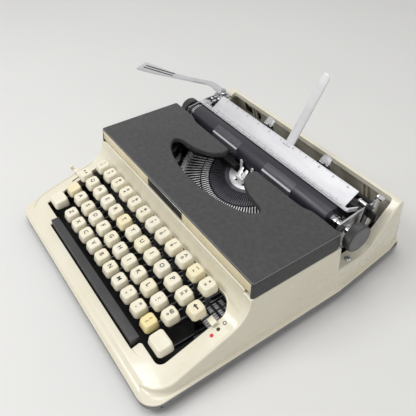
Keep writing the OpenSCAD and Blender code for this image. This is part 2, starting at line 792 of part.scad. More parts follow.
module return_lever() {
  tip = [return_tip_x, return_tip_y];
  color("silver") difference() {
    union() {
      translate([0, 0, lever_z[0]]) linear_extrude(lever_z[1] - lever_z[0])
        bar2d([lever_pivot, lever_elbow, finger_plate, tip], [13, 9, 10, 22]);
      translate([lever_pivot[0], lever_pivot[1], lever_z[0]]) cylinder(h = 4, r = 5.5);
    }
    translate([lever_pivot[0], lever_pivot[1], 0]) cylinder(h = 2 * cover_z, r = lever_post_r + run);
  }
}
// Small levers on studs on the outside of the right end plate
module end_lever(x, y, z, tip, tab) {
  rod_x(plate_x, x + 2, y, z, stud_r);
  along_x(x, x + 2) bar2d([[y, z], tip], [8, 5]);
  box([x, x + tab], [tip[0] - 2.5, tip[0] + 2.5], [tip[1] - 1, tip[1] + 1]);
}
module paper_release() {
  color("black") end_lever(plate_x + plate_t + slide, release_y, release_z, [111, 99], 7);
}
module carriage_release() {
  color("silver") end_lever(plate_x + plate_t + 3, freer_y, freer_z, [94, 97], 6);
}

// Works at the rear of the base
module mainspring_drum() {
  color("gray") translate([drum_x, drum_y, pan_top + 5 + slide]) difference() {
    cylinder(h = 12, r = drum_r);
    translate([0, 0, -over]) cylinder(h = 20, r = drum_post_r + run);
    translate([0, 0, 4]) difference() {
      cylinder(h = 4, r = drum_r + over);
      translate([0, 0, -over]) cylinder(h = 6, r = drum_r - 1.5);
    }
  }
}
module escapement_wheel() {
  n = 24;
  teeth = [for (k = [0:2 * n - 1]) let (a = 180 * k / n, r = k % 2 == 0 ? wheel_r : wheel_r - 1.6)
    [r * cos(a), r * sin(a)]];
  color("goldenrod") translate([0, wheel_y + slide, wheel_z]) rotate([-90, 0, 0]) difference() {
    union() {
      linear_extrude(1.5) polygon(teeth);
      cylinder(h = 5, r = 5);
    }
    translate([0, 0, -over]) cylinder(h = 10, r = stud_r + run);
  }
}
module bell() {
  seat = pan_top + 14;
  color("silver") translate([bell_x, bell_y, seat]) difference() {
    rotate_extrude() polygon(concat([[1.8, 0], [1.8, 1.2]], arc(0, -10.8, bell_r - 4, 80, 0, 8),
      [[bell_r, -11.5], [bell_r, -12.5]], arc(0, -11.5, bell_r - 5.2, 0, 82, 8)));
    cylinder(h = 0.1, r = 1.8);
  }
}
module ribbon_selector() {
  x0 = frame_x + frame_t + slide;
  color("ivory") deck_frame(0, selector_y) {
    box([x0 - 4, x0 + 4.5], [-3, 3], [0.8, 4.4]);
    box([x0, x0 + 1.5], [-3, 3], [-16, 2]);
  }
}
module touch_lever() {
  color("ivory") deck_frame(touch_x, touch_y) {
    box([-6, 6], [-3, 3], [slide, 4]);
    box([-0.8, 0.8], [-3, 3], [-wall - 1.5, 2]);
    box([-4, 4], [-5, 5], [-wall - 2.2, -wall - slide]);
  }
}

// Keys: flat steel levers that turn on the fulcrum rod, with a moulded cap on each
module lever(x, row) {
  y = row_y[row];
  key_lever(x, y, row_z[row] - cap_h);
}
module key_lever(x, y, top) {
  z0 = fulcrum_z - lever_h / 2;
  z1 = fulcrum_z + lever_h / 2;
  difference() {
    union() {
      slab_x(x - lever_t / 2, x + lever_t / 2, [[y - stem_w / 2, z0], [fulcrum_y, z0],
        [fulcrum_y, z1], [y + stem_w / 2, z1], [y + stem_w / 2, top], [y - stem_w / 2, top]]);
      rod_x(x - lever_t / 2, x + lever_t / 2, fulcrum_y, fulcrum_z, hub_r);
    }
    rod_x(-body_w, body_w, fulcrum_y, fulcrum_z, fulcrum_r + run);
  }
}
module cap(x, y, top, w, d) {
  k = cap_top / cap_base;
  translate([x, y, top - cap_h]) difference() {
    linear_extrude(cap_h + 2, scale = k) square([w, d], center = true);
    translate([0, 0, cap_h]) rotate([cap_tilt, 0, 0]) translate([-w, -d, 0]) cube([2 * w, 2 * d, w]);
  }
}
module row_levers(row) {
  color("gray") for (i = plain_keys(row)) lever(key_at(row, i), row);
}
module row_caps(row) {
  color("ivory") for (i = plain_keys(row))
    cap(key_at(row, i), row_y[row], row_z[row], cap_base, cap_base);
}
module single_key(row, i) {
  color("ivory") union() {
    lever(key_at(row, i), row);
    cap(key_at(row, i), row_y[row], row_z[row], cap_base, cap_base);
  }
}
module levers_row_1() { row_levers(0); }
module levers_row_2() { row_levers(1); }
module levers_row_3() { row_levers(2); }
module levers_row_4() { row_levers(3); }
module caps_row_1() { row_caps(0); }
module caps_row_2() { row_caps(1); }
module caps_row_3() { row_caps(2); }
module caps_row_4() { row_caps(3); }
module key_t() { single_key(1, t_index); }
module margin_release_key() { single_key(1, 0); }
module backspace_key() { single_key(1, row_n[1] - 1); }
module shift_lock_key() { single_key(2, 0); }
module shift_levers() {
  color("gray") {
    for (x = [shift_left_x, shift_right_x]) {
      key_lever(x, row_y[3], row_z[3] - cap_h);
      slab_x(x - lever_t / 2, x + lever_t / 2, [[shift_rail_y - 4, shift_rail_z - 1.5],
        [shift_rail_y + 4, shift_rail_z - 1.5], [shift_rail_y + 4, fulcrum_z],
        [shift_rail_y - 4, fulcrum_z]]);
    }
    rod_x(shift_left_x, shift_right_x, shift_rail_y, shift_rail_z, 1.5);
  }
}
module shift_caps() {
  color("ivory") for (x = [shift_cap_left, shift_cap_right])
    cap(x, shift_cap_y, row_z[3], shift_cap_w, shift_cap_d);
}
module space_bar() {
  y = (slot_y[0] + slot_y[1]) / 2 + 1;
  z0 = 17.5;
  color("dimgray") {
    box([-space_l / 2, space_l / 2], [y - 4.5, y + 4], [z0 + 2, bar_top_z]);
    box([-arm_x - 2, arm_x + 2], [y - 1.5, y + 1.5], [z0, z0 + 3]);
    both_sides() difference() {
      union() {
        slab_x(arm_x, arm_x + 2, [[y - 1.5, z0], [0, z0], [fulcrum_y, fulcrum_z - 4],
          [fulcrum_y, fulcrum_z + 4], [0, z0 + 5], [y - 1.5, z0 + 3]]);
        rod_x(arm_x, arm_x + 2, fulcrum_y, fulcrum_z, hub_r);
      }
      rod_x(-body_w, body_w, fulcrum_y, fulcrum_z, fulcrum_r + run);
    }
  }
}

base_pan();
rubber_feet();
body_shell();
shell_screws();
ribbon_cover();
cover_fascia();
nameplate();
side_frames();
cross_bar();
frame_rods();
lever_comb();
segment();
segment_plate();
typebars();
typebar_t();
type_guide();
card_holders();
spool_cups();
spool_left();
spool_right();
ribbon_vibrator();
carriage_rail();
carriage_frame();
end_plate_left();
end_plate_right();
platen_roller();
platen_shaft();
knob_left();
knob_right();
ratchet_wheel();
feed_roller();
paper_table();
paper_support();
paper_bail();
margin_rail();
margin_stop_left();
margin_stop_right();
return_lever();
paper_release();
carriage_release();
mainspring_drum();
escapement_wheel();
bell();
ribbon_selector();
touch_lever();
space_bar();
levers_row_1();
levers_row_2();
levers_row_3();
levers_row_4();
caps_row_1();
caps_row_2();
caps_row_3();
caps_row_4();
key_t();
margin_release_key();
backspace_key();
shift_lock_key();
shift_levers();
shift_caps();
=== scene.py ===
"""Looks of a portable typewriter, laid out as an add-on and run as a script."""

import json
import math

import bmesh
import bpy
from bpy.props import FloatProperty, FloatVectorProperty, IntProperty, PointerProperty
from mathutils import Matrix, Vector


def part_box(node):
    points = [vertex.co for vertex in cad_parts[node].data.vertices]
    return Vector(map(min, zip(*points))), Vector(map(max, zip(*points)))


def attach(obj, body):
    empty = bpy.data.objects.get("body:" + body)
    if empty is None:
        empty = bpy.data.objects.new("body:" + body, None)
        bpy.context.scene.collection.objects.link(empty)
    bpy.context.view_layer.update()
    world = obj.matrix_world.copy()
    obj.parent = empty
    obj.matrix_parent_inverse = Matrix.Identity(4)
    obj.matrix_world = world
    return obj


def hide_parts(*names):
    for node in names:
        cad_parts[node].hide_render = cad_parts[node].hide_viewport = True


bl_info = {
    "name": "Portable typewriter looks",
    "version": (1, 0, 0),
    "blender": (4, 5, 0),
    "location": "3D View > Sidebar > Typewriter",
    "description": "Dresses the packed typewriter with moulded shells, caps, scales and finishes",
    "category": "Object",
}

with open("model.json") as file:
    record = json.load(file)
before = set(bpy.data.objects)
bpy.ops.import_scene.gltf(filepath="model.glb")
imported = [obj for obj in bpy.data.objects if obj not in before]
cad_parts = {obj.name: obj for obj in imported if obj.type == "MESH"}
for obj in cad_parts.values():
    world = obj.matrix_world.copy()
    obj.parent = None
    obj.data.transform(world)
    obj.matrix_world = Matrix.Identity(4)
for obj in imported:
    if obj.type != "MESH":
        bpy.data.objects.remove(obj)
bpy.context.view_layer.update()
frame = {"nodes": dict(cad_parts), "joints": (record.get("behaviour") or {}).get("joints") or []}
NODES = frame["nodes"]
MM = 0.001
PER_METRE = 1000


def pivot(joint):
    """Place of a joint's axis, in millimetres."""
    spot = next(j["pos_m"] for j in frame["joints"] if j["name"] == joint)
    return tuple(round(v / MM, 3) for v in spot)


def node_box(node):
    """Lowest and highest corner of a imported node, in millimetres."""
    return [[round(v / MM, 2) for v in corner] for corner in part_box(node)]


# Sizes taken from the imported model, in millimetres
LIP_LOW, LIP_HIGH = node_box("body_shell")
LIP_HALF, LIP_Y = LIP_HIGH[0], (LIP_LOW[1], LIP_HIGH[1])
COVER_TOP = node_box("ribbon_cover")[1][2]
HINGE = pivot("cover_lift")[1:]
PLATEN = pivot("platen_turn")[1:]
FULCRUM = pivot("keys_1_press")[1:]
RETURN_PIVOT = pivot("return_swing")[:2]
CAP_SIDE, CAP_HEIGHT = 15.5, 9.0  # of one packed cap
CAP_ROWS = [node_box("caps_row_%d" % row) for row in (1, 2, 3, 4)]
ROWS_Y = [round((low[1] + high[1]) / 2, 2) for low, high in CAP_ROWS]
ROWS_Z = [round(low[2] + CAP_HEIGHT, 2) for low, high in CAP_ROWS]
FIRST_X = round(CAP_ROWS[0][0][0] + CAP_SIDE / 2, 2)

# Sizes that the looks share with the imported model, in millimetres
PITCH = 19.0
ROW_SHIFT = (0.0, -0.5, -0.25, 1.25)  # start of each row, in pitches from the rear row's first key
SHIFT_KEYS = ((-114, 112), -122.5)  # X of both keys, and their Y
CAP_TILT = math.radians(8)
DECK_ANGLE = math.radians(17)
DECK_TAN = math.tan(DECK_ANGLE)
DECK_FRONT = (-152.5, 20.0)  # Y and Z where the deck's slope starts
DECK_CORNER = (16, 9, 3)  # radius at the foot, what it gains, and the climb over which it does
SWEEP = (-80.0, 73.54, 30.0)  # Y, Z and radius of the concave rise behind the keys
LEAN_TAN = math.tan(math.radians(5.7))
WALL_HALF, WALL_FRONT, SHELL_WALL = 148, -153, 2.5
LIP_TOP = 17
LIP_CORNERS = (17, 8)  # radius in front and behind
LIP_TAPER = (62, 11, 103)  # Y where the lip starts to narrow, what it loses, and over which run
RIM_WIDTH, FLARE = 2.9, 7.0  # least rim outside the walls, and height of the walls' flare
LEDGE_Z = 42
LEDGE_SCREW = (139.5, 75)  # X and Y of the right one
COVER_HALF, COVER_Y = 140.6, (-48.4, 53.9)
HINGE_REACH = 11.9  # what the cover's rear corner may reach from its hinge
BASKET = Matrix.Translation((0, 66, 68)) @ Matrix.Rotation(math.radians(18), 4, "X")


def paint(red, green, blue):
    """A screen colour from 0 to 255, as the linear values that shaders use."""
    def straight(v):
        v /= 255
        return v / 12.92 if v <= 0.04045 else ((v + 0.055) / 1.055) ** 2.4
    return (straight(red), straight(green), straight(blue))


# Outlines

def arc(cx, cy, r, start, end, steps):
    """Points on a circle, from one angle to another in degrees."""
    turns = [math.radians(start + (end - start) * k / steps) for k in range(steps + 1)]
    return [(cx + r * math.cos(a), cy + r * math.sin(a)) for a in turns]


def eased(points, radii, steps, closed=True):
    """Rounds the corners of an outline; radii is one radius, or one for each point."""
    out, n = [], len(points)
    for i, p in enumerate(points):
        r = radii[i] if isinstance(radii, (list, tuple)) else radii
        if r <= 0 or (not closed and i in (0, n - 1)):
            out.append(tuple(p))
            continue
        b = Vector(p)
        u, v = Vector(points[i - 1]) - b, Vector(points[(i + 1) % n]) - b
        half = u.angle(v) / 2
        reach = min(r / math.tan(half), 0.49 * u.length, 0.49 * v.length)
        u.normalize()
        v.normalize()
        centre = b + (u + v).normalized() * (reach / math.cos(half))
        s, e = b + u * reach - centre, b + v * reach - centre
        sweep = s.angle(e)
        for k in range(steps + 1):
            f = k / steps
            q = centre + (s * math.sin((1 - f) * sweep) + e * math.sin(f * sweep)) / math.sin(sweep)
            out.append(tuple(q))
    return out


def through(points, steps):
    """A smooth line through the points, with so many steps from one to the next."""
    pts = [Vector(p) for p in points]
    pts = [2 * pts[0] - pts[1]] + pts + [2 * pts[-1] - pts[-2]]
    out = []
    for a, b, c, d in zip(pts, pts[1:], pts[2:], pts[3:]):
        for k in range(steps):
            t = k / steps
            out.append(tuple(0.5 * (2 * b + (c - a) * t + (2 * a - 5 * b + 4 * c - d) * t * t
                                    + (3 * b - a - 3 * c + d) * t ** 3)))
    return out + [tuple(pts[-2])]


def mirrored(points):
    """The same outline on the other side, in the opposite order."""
    return [(-p[0], *p[1:]) for p in reversed(points)]


def inset(outline, depth):
    """An outline moved inward; depth is one distance, or one for each point."""
    pts = [Vector(p) for p in outline]
    n = len(pts)
    area = sum(pts[i - 1].cross(pts[i]) for i in range(n))
    side = 1 if area > 0 else -1
    out = []
    for i, p in enumerate(pts):
        a, b = (p - pts[i - 1]).normalized(), (pts[(i + 1) % n] - p).normalized()
        na, nb = Vector((-a.y, a.x)) * side, Vector((-b.y, b.x)) * side
        d = depth[i] if isinstance(depth, (list, tuple)) else depth
        out.append(tuple(p + (na + nb) * d / max(0.35, 1 + na.dot(nb))))
    return out


LAYS = {
    "XY": lambda u, v, w: (u, v, w),
    "YZ": lambda u, v, w: (w, u, v),
    "XZ": lambda u, v, w: (u, w, v),
}


class Shape:
    """Points and faces of a piece in millimetres, gathered before they become a mesh."""

    def __init__(self):
        self.points, self.faces = [], []

    def add(self, points, faces, place):
        """Adds points and faces, put in a place unless that is None."""
        base = len(self.points)
        self.points += [place @ Vector(p) if place else Vector(p) for p in points]
        self.faces += [[base + i for i in face] for face in faces]
        return self

    def loft(self, rings, round_trip=False, caps=True, place=None):
        """A skin over rings of equally many points, closed by caps or by a trip back to the first ring."""
        n, rows = len(rings[0]), len(rings)
        faces = []
        for k in range(rows if round_trip else rows - 1):
            a, b = k * n, (k + 1) % rows * n
            faces += [[a + i, a + (i + 1) % n, b + (i + 1) % n, b + i] for i in range(n)]
        if caps and not round_trip:
            faces += [list(range(n))[::-1], list(range((rows - 1) * n, rows * n))]
        return self.add([p for ring in rings for p in ring], faces, place)

    def plate(self, outline, low, high, ease, lay="XY", place=None):
        """A flat plate with eased edges."""
        at = LAYS[lay]
        inner = inset(outline, ease)
        soft = inset(outline, ease * 0.29)
        rings = [(inner, low), (soft, low + ease * 0.29), (outline, low + ease), (outline, high - ease),
                 (soft, high - ease * 0.29), (inner, high)]
        return self.loft([[at(u, v, w) for u, v in line] for line, w in rings], place=place)

    def block(self, x, y, z, ease, corner=0.0, lay="XY", place=None):
        """A rounded block between two corners, laid in one of the three planes."""
        outline = [(x[0], y[0]), (x[1], y[0]), (x[1], y[1]), (x[0], y[1])]
        return self.plate(eased(outline, corner, 4) if corner else outline, *z, ease, lay, place)

    def turned(self, profile, centre, axis, steps):
        """A turned piece: profile holds the distance along the axis and the radius."""
        rings = []
        for along, r in profile:
            ring = []
            for k in range(steps):
                a = 2 * math.pi * k / steps
                radius = r(k) if callable(r) else r
                u, v = radius * math.cos(a), radius * math.sin(a)
                p = {"X": (along, u, v), "Y": (u, along, v), "Z": (u, v, along)}[axis]
                ring.append(Vector(p) + Vector(centre))
            rings.append(ring)
        return self.loft(rings)

    def swept(self, path, section, round_trip=False, up=(0, 0, 1)):
        """A section of (side, up) points carried along a path."""
        pts = [Vector(p) for p in path]
        n = len(pts)
        rings = []
        for i, p in enumerate(pts):
            if round_trip:
                t = pts[(i + 1) % n] - pts[i - 1]
            else:
                t = pts[min(i + 1, n - 1)] - pts[max(i - 1, 0)]
            t.normalize()
            side = t.cross(Vector(up))
            side = side.normalized() if side.length > 1e-6 else Vector((1, 0, 0))
            lift = side.cross(t)
            rings.append([p + side * u + lift * v for u, v in section])
        return self.loft(rings, round_trip)

    def tube(self, path, r, sides, round_trip=False, up=(0, 0, 1)):
        """A round section carried along a path."""
        return self.swept(path, arc(0, 0, r, 0, 360 - 360 / sides, sides - 1), round_trip, up)

    def coil(self, start, end, r, wire, turns):
        """A small wire spring between two points."""
        a, b = Vector(start), Vector(end)
        along = (b - a).normalized()
        side = along.cross(Vector((0, 0, 1))).normalized()
        lift = side.cross(along)
        steps = 12
        count = turns * steps
        path = []
        for k in range(count + 1):
            turn = 2 * math.pi * k / steps
            path.append(a + (b - a) * k / count + r * (side * math.cos(turn) + lift * math.sin(turn)))
        return self.tube(path, wire, 5, up=tuple(along))

    def mesh(self, name):
        """The shape as a mesh in metres, without doubles, faces outward; a face given twice is kept once."""
        made = bpy.data.meshes.new(name)
        bm = bmesh.new()
        points = [bm.verts.new(p * MM) for p in self.points]
        for face in self.faces:
            try:
                bm.faces.new([points[i] for i in face])
            except ValueError:
                continue
        bmesh.ops.remove_doubles(bm, verts=bm.verts, dist=1e-6)
        bmesh.ops.dissolve_degenerate(bm, edges=bm.edges, dist=1e-7)
        bmesh.ops.recalc_face_normals(bm, faces=bm.faces)
        bm.to_mesh(made)
        bm.free()
        return made


# Pieces

def piece(name, mesh, body, finish, replaced=(), crease=35):
    """Makes a shape or a mesh into a finished piece that rides on a body."""
    if isinstance(mesh, Shape):
        mesh = mesh.mesh(name)
    obj = bpy.data.objects.new(name, mesh)
    bpy.context.scene.collection.objects.link(obj)
    mesh.materials.clear()
    mesh.materials.append(finish)
    mesh.shade_smooth()
    mesh.set_sharp_from_angle(angle=math.radians(crease))
    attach(obj, body)
    if replaced:
        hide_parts(*replaced)
    return obj


def dress(node, look):
    """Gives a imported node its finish."""
    NODES[node].data.materials.clear()
    NODES[node].data.materials.append(look)


def eased_copy(node, ease, segments=2):
    """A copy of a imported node's mesh with its sharp edges rounded."""
    mesh = NODES[node].data.copy()
    mesh.materials.clear()
    bm = bmesh.new()
    bm.from_mesh(mesh)
    bmesh.ops.remove_doubles(bm, verts=bm.verts, dist=2e-6)
    bmesh.ops.dissolve_limit(bm, angle_limit=math.radians(1), verts=bm.verts, edges=bm.edges)
    sharp = [e for e in bm.edges if len(e.link_faces) == 2 and e.calc_face_angle(0) > math.radians(30)]
    bmesh.ops.bevel(bm, geom=sharp, offset=ease * MM, offset_type="OFFSET", segments=segments,
                    profile=0.5, affect="EDGES", clamp_overlap=True)
    bm.to_mesh(mesh)
    bm.free()
    return mesh


def baked(obj):
    """The plain mesh that an object's modifiers make; the object is removed."""
    bpy.context.view_layer.update()
    mesh = bpy.data.meshes.new_from_object(obj.evaluated_get(bpy.context.evaluated_depsgraph_get()))
    obj.modifiers.clear()
    bpy.data.objects.remove(obj)
    return mesh


def bench(name, mesh):
    """A helper object that is removed once its shape is used."""
    obj = bpy.data.objects.new(name, mesh)
    bpy.context.scene.collection.objects.link(obj)
    return obj


def cut(mesh, tools):
    """A mesh with other closed meshes cut out of it."""
    obj = bench("blank", mesh)
    cutters = [bench("cutter", tool) for tool in tools]
    for cutter in cutters:
        step = obj.modifiers.new("Cut", "BOOLEAN")
        step.operation, step.solver, step.object = "DIFFERENCE", "EXACT", cutter
        step.use_self = step.use_hole_tolerant = True
    made = baked(obj)
    for cutter in cutters:
        bpy.data.objects.remove(cutter)
    return made


def one_point():
    """A mesh with one point, for a tree that needs no other start."""
    mesh = bpy.data.meshes.new("start")
    mesh.from_pydata([(0, 0, 0)], [], [])
    return mesh


def joined(name, meshes):
    """One mesh from several."""
    bm = bmesh.new()
    for mesh in meshes:
        bm.from_mesh(mesh)
    made = bpy.data.meshes.new(name)
    bm.to_mesh(made)
    bm.free()
    return made


# Geometry node trees

def new_tree(name, inputs):
    """An empty node tree with its inputs, and a helper that adds a node with its links."""
    tree = bpy.data.node_groups.new(name, "GeometryNodeTree")
    for label, kind, value in inputs:
        socket = tree.interface.new_socket(label, in_out="INPUT", socket_type="NodeSocket" + kind)
        if value is not None:
            socket.default_value = value
    tree.interface.new_socket("Geometry", in_out="OUTPUT", socket_type="NodeSocketGeometry")

    def node(kind, links=(), **settings):
        made = tree.nodes.new(kind)
        for key, value in settings.items():
            setattr(made, key, value)
        for socket, source in links:
            target = made.inputs[socket]
            if isinstance(source, bpy.types.NodeSocket):
                tree.links.new(source, target)
            else:
                target.default_value = source
        return made
    return tree, node


def worked_out(node, operation, *values):
    """Adds a math node that is fed with sockets and numbers, and returns its result."""
    return node("ShaderNodeMath", list(enumerate(values)), operation=operation).outputs[0]


def end_tree(node, spread, look):
    """Ends a tree: the instances are made real and get their finish."""
    real = node("GeometryNodeRealizeInstances", [("Geometry", spread.outputs["Instances"])])
    dressed = node("GeometryNodeSetMaterial", [("Geometry", real.outputs["Geometry"]), ("Material", look)])
    node("NodeGroupOutput", [("Geometry", dressed.outputs["Geometry"])])


def run_tree(tree, mesh, values):
    """Runs a tree on a mesh with named values, and returns the plain mesh that it makes."""
    obj = bench(tree.name, mesh)
    step = obj.modifiers.new("Repeat", "NODES")
    step.node_group = tree
    for item in tree.interface.items_tree:
        if item.in_out == "INPUT" and item.name in values:
            step[item.identifier] = values[item.name]
    return baked(obj)


def marks_tree():
    """Sets a piece on every mark of a mesh, turned as the mark says, and all of one size."""
    tree, node = new_tree("Set on marks", [("Geometry", "Geometry", None), ("Piece", "Object", None),
                                           ("Size", "Float", 1.0), ("Finish", "Material", None)])
    start = node("NodeGroupInput")
    turn = node("GeometryNodeInputNamedAttribute", [("Name", "turn")], data_type="FLOAT_VECTOR")
    shape = node("GeometryNodeObjectInfo", [("Object", start.outputs["Piece"])])
    spread = node("GeometryNodeInstanceOnPoints",
                  [("Points", start.outputs["Geometry"]), ("Instance", shape.outputs["Geometry"]),
                   ("Rotation", turn.outputs["Attribute"]), ("Scale", start.outputs["Size"])])
    end_tree(node, spread, start.outputs["Finish"])
    return tree


def ticks_tree():
    """A row of scale ticks, with a longer one at every so many."""
    tree, node = new_tree("Scale ticks", [("Geometry", "Geometry", None), ("Count", "Int", 60),
                                          ("Pitch", "Float", 0.0025), ("Width", "Float", 0.0004),
                                          ("Short", "Float", 0.0015), ("Long", "Float", 0.003),
                                          ("Every", "Int", 5), ("Finish", "Material", None)])
    start = node("NodeGroupInput")
    step = node("ShaderNodeCombineXYZ", [("X", start.outputs["Pitch"])])
    line = node("GeometryNodeMeshLine", [("Count", start.outputs["Count"]),
                                         ("Offset", step.outputs["Vector"])])
    index = node("GeometryNodeInputIndex").outputs["Index"]
    left = worked_out(node, "MODULO", index, start.outputs["Every"])
    first = worked_out(node, "LESS_THAN", left, 0.5)
    grow = worked_out(node, "SUBTRACT", start.outputs["Long"], start.outputs["Short"])
    tall = worked_out(node, "MULTIPLY_ADD", first, grow, start.outputs["Short"])
    size = node("ShaderNodeCombineXYZ", [("X", start.outputs["Width"]), ("Y", tall), ("Z", 1.0)])
    tick = node("GeometryNodeMeshGrid", [("Size X", 1.0), ("Size Y", 1.0), ("Vertices X", 2),
                                         ("Vertices Y", 2)])
    lift = node("GeometryNodeTransform", [("Geometry", tick.outputs["Mesh"]),
                                          ("Translation", (0, 0.5, 0))])
    spread = node("GeometryNodeInstanceOnPoints",
                  [("Points", line.outputs["Mesh"]), ("Instance", lift.outputs["Geometry"]),
                   ("Scale", size.outputs["Vector"])])
    end_tree(node, spread, start.outputs["Finish"])
    return tree


def fan_tree():
    """A fan of pieces about the origin, spread evenly over an angle, with one left out."""
    tree, node = new_tree("Type bar fan", [("Geometry", "Geometry", None), ("Piece", "Object", None),
                                           ("Count", "Int", 43), ("First", "Float", 3.4),
                                           ("Spread", "Float", 2.5), ("Left out", "Int", 21),
                                           ("Finish", "Material", None)])
    start = node("NodeGroupInput")
    shape = node("GeometryNodeObjectInfo", [("Object", start.outputs["Piece"])])
    line = node("GeometryNodeMeshLine", [("Count", start.outputs["Count"]), ("Offset", (0, 0, 0))])
    index = node("GeometryNodeInputIndex").outputs["Index"]
    last = worked_out(node, "SUBTRACT", start.outputs["Count"], 1.0)
    share = worked_out(node, "DIVIDE", index, last)
    angle = worked_out(node, "MULTIPLY_ADD", share, start.outputs["Spread"], start.outputs["First"])
    turn = node("ShaderNodeCombineXYZ", [("Z", angle)])
    away = worked_out(node, "SUBTRACT", index, start.outputs["Left out"])
    kept = worked_out(node, "GREATER_THAN", worked_out(node, "ABSOLUTE", away), 0.5)
    spread = node("GeometryNodeInstanceOnPoints",
                  [("Points", line.outputs["Mesh"]), ("Selection", kept),
                   ("Instance", shape.outputs["Geometry"]), ("Rotation", turn.outputs["Vector"])])
    end_tree(node, spread, start.outputs["Finish"])
    return tree


def tree(maker):
    """A node tree, made once."""
    if maker.__name__ not in bpy.data.node_groups:
        made = maker()
        made.name = maker.__name__
    return bpy.data.node_groups[maker.__name__]


def on_marks(piece_mesh, marks, finish):
    """Sets a mesh on marks of (place in mm, turn, tint) and returns one mesh."""
    mesh = bpy.data.meshes.new("marks")
    mesh.from_pydata([Vector(m[0]) * MM for m in marks], [], [])
    mesh.attributes.new("turn", "FLOAT_VECTOR", "POINT")
    mesh.attributes.new("tint", "FLOAT", "POINT")
    for k, mark in enumerate(marks):
        mesh.attributes["turn"].data[k].vector = mark[1]
        mesh.attributes["tint"].data[k].value = mark[2] if len(mark) > 2 else 0.0
    shape = bench("shape", piece_mesh)
    made = run_tree(tree(marks_tree), mesh, {"Piece": shape, "Finish": finish})
    bpy.data.objects.remove(shape)
    return made


def ticks(count, pitch, width, short, tall, every, finish, place):
    """A row of ticks put in its place, sizes in millimetres."""
    made = run_tree(tree(ticks_tree), one_point(),
                    {"Count": count, "Pitch": pitch * MM, "Width": width * MM, "Short": short * MM,
                     "Long": tall * MM, "Every": every, "Finish": finish})
    made.transform(place)
    return made


# Finishes

def finish(name, colour, second=None, patch=30.0, stretch=(1, 1, 1), rough=(0.4, 0.5), rough_scale=80.0,
           metal=0.0, bump=None, tint=None, clear=0.0, ior=1.5, coat=0.0, share=0.5, gloss=0.5, alpha=1.0):
    """A node material with patches of a second colour, uneven gloss and a fine surface relief."""
    if name in bpy.data.materials:
        return bpy.data.materials[name]
    mat = bpy.data.materials.new(name)
    mat.use_nodes = True
    nodes, link = mat.node_tree.nodes, mat.node_tree.links.new
    shader = nodes["Principled BSDF"]
    shader.inputs["Metallic"].default_value = metal
    shader.inputs["IOR"].default_value = ior
    shader.inputs["Transmission Weight"].default_value = clear
    shader.inputs["Coat Weight"].default_value = coat
    shader.inputs["Specular IOR Level"].default_value = gloss
    shader.inputs["Alpha"].default_value = alpha
    coords = nodes.new("ShaderNodeTexCoord")
    spread = nodes.new("ShaderNodeMapping")
    spread.inputs["Scale"].default_value = stretch
    link(coords.outputs["Object"], spread.inputs["Vector"])

    def cloud(scale, detail=4.0):
        made = nodes.new("ShaderNodeTexNoise")
        made.inputs["Scale"].default_value = scale
        made.inputs["Detail"].default_value = detail
        made.inputs["Roughness"].default_value = 0.6
        link(spread.outputs["Vector"], made.inputs["Vector"])
        return made.outputs["Fac"]

    def ranged(source, low, high):
        made = nodes.new("ShaderNodeMapRange")
        for socket, value in (("From Min", 0.3), ("From Max", 0.7), ("To Min", low), ("To Max", high)):
            made.inputs[socket].default_value = value
        link(source, made.inputs["Value"])
        return made.outputs["Result"]

    def mixed(factor, a, b):
        made = nodes.new("ShaderNodeMix")
        made.data_type = "RGBA"
        for socket, value in ((6, a), (7, b)):
            if isinstance(value, bpy.types.NodeSocket):
                link(value, made.inputs[socket])
            else:
                made.inputs[socket].default_value = (*value, 1)
        link(factor, made.inputs[0])
        return made.outputs[2]

    second = second or tuple(c * 0.86 for c in colour)
    shade = mixed(ranged(cloud(patch), 0.0, share * 2), colour, second)
    if tint:
        # The tint attribute blends in real yellowing on aged caps, and a painted highlight on the cover's
        # outer edges.
        aged = nodes.new("ShaderNodeAttribute")
        aged.attribute_name = "tint"
        shade = mixed(aged.outputs["Fac"], shade, tint)
    link(shade, shader.inputs["Base Color"])
    link(ranged(cloud(rough_scale), *rough), shader.inputs["Roughness"])
    if bump:
        kind, scale, height = bump
        if kind == "grain":
            cells = nodes.new("ShaderNodeTexVoronoi")
            cells.inputs["Scale"].default_value = scale
            link(spread.outputs["Vector"], cells.inputs["Vector"])
            relief = cells.outputs["Distance"]
        else:
            relief = cloud(scale, 3.0)
        rise = nodes.new("ShaderNodeBump")
        rise.inputs["Strength"].default_value = 1.0
        rise.inputs["Distance"].default_value = height
        link(relief, rise.inputs["Height"])
        link(rise.outputs["Normal"], shader.inputs["Normal"])
    return mat


def cream():
    look = bpy.context.scene.typewriter_body
    return finish("cream_enamel", look.cream, tuple(look.yellowing), 14, rough=(0.20, 0.32), rough_scale=35,
                  bump=("cloud", 900, 0.000015), coat=0.2, share=0.25)


def fascia_cream():
    return finish("fascia_cream", paint(231, 221, 191), paint(216, 203, 168), 25, rough=(0.35, 0.5),
                  bump=("cloud", 900, 0.00002))


def charcoal():
    look = bpy.context.scene.typewriter_body
    # The tint is a painted highlight: a lighter strip along the cover's outer edges, where the rolled edge
    # catches the light.
    return finish("grained_charcoal", look.cover, tuple(c * 0.68 for c in look.cover), 220,
                  rough=(0.42, 0.62), rough_scale=260, bump=("grain", 900, 0.00014), gloss=0.35,
                  tint=tuple(look.worn))


def ivory():
    look = bpy.context.scene.typewriter_keys
    return finish("ivory_caps", look.ivory, paint(226, 219, 197), 60, rough=(0.30, 0.42), rough_scale=120,
                  bump=("cloud", 700, 0.00001), tint=tuple(look.yellowed), share=0.3)


def legend_ink():
    return finish("legend_ink", paint(36, 35, 36), paint(54, 52, 52), 500, rough=(0.5, 0.6))


def chrome():
    return finish("bright_plating", (0.62, 0.62, 0.64), (0.5, 0.5, 0.52), 90, rough=(0.08, 0.2),
                  rough_scale=200, metal=1.0, bump=("cloud", 500, 0.000008))


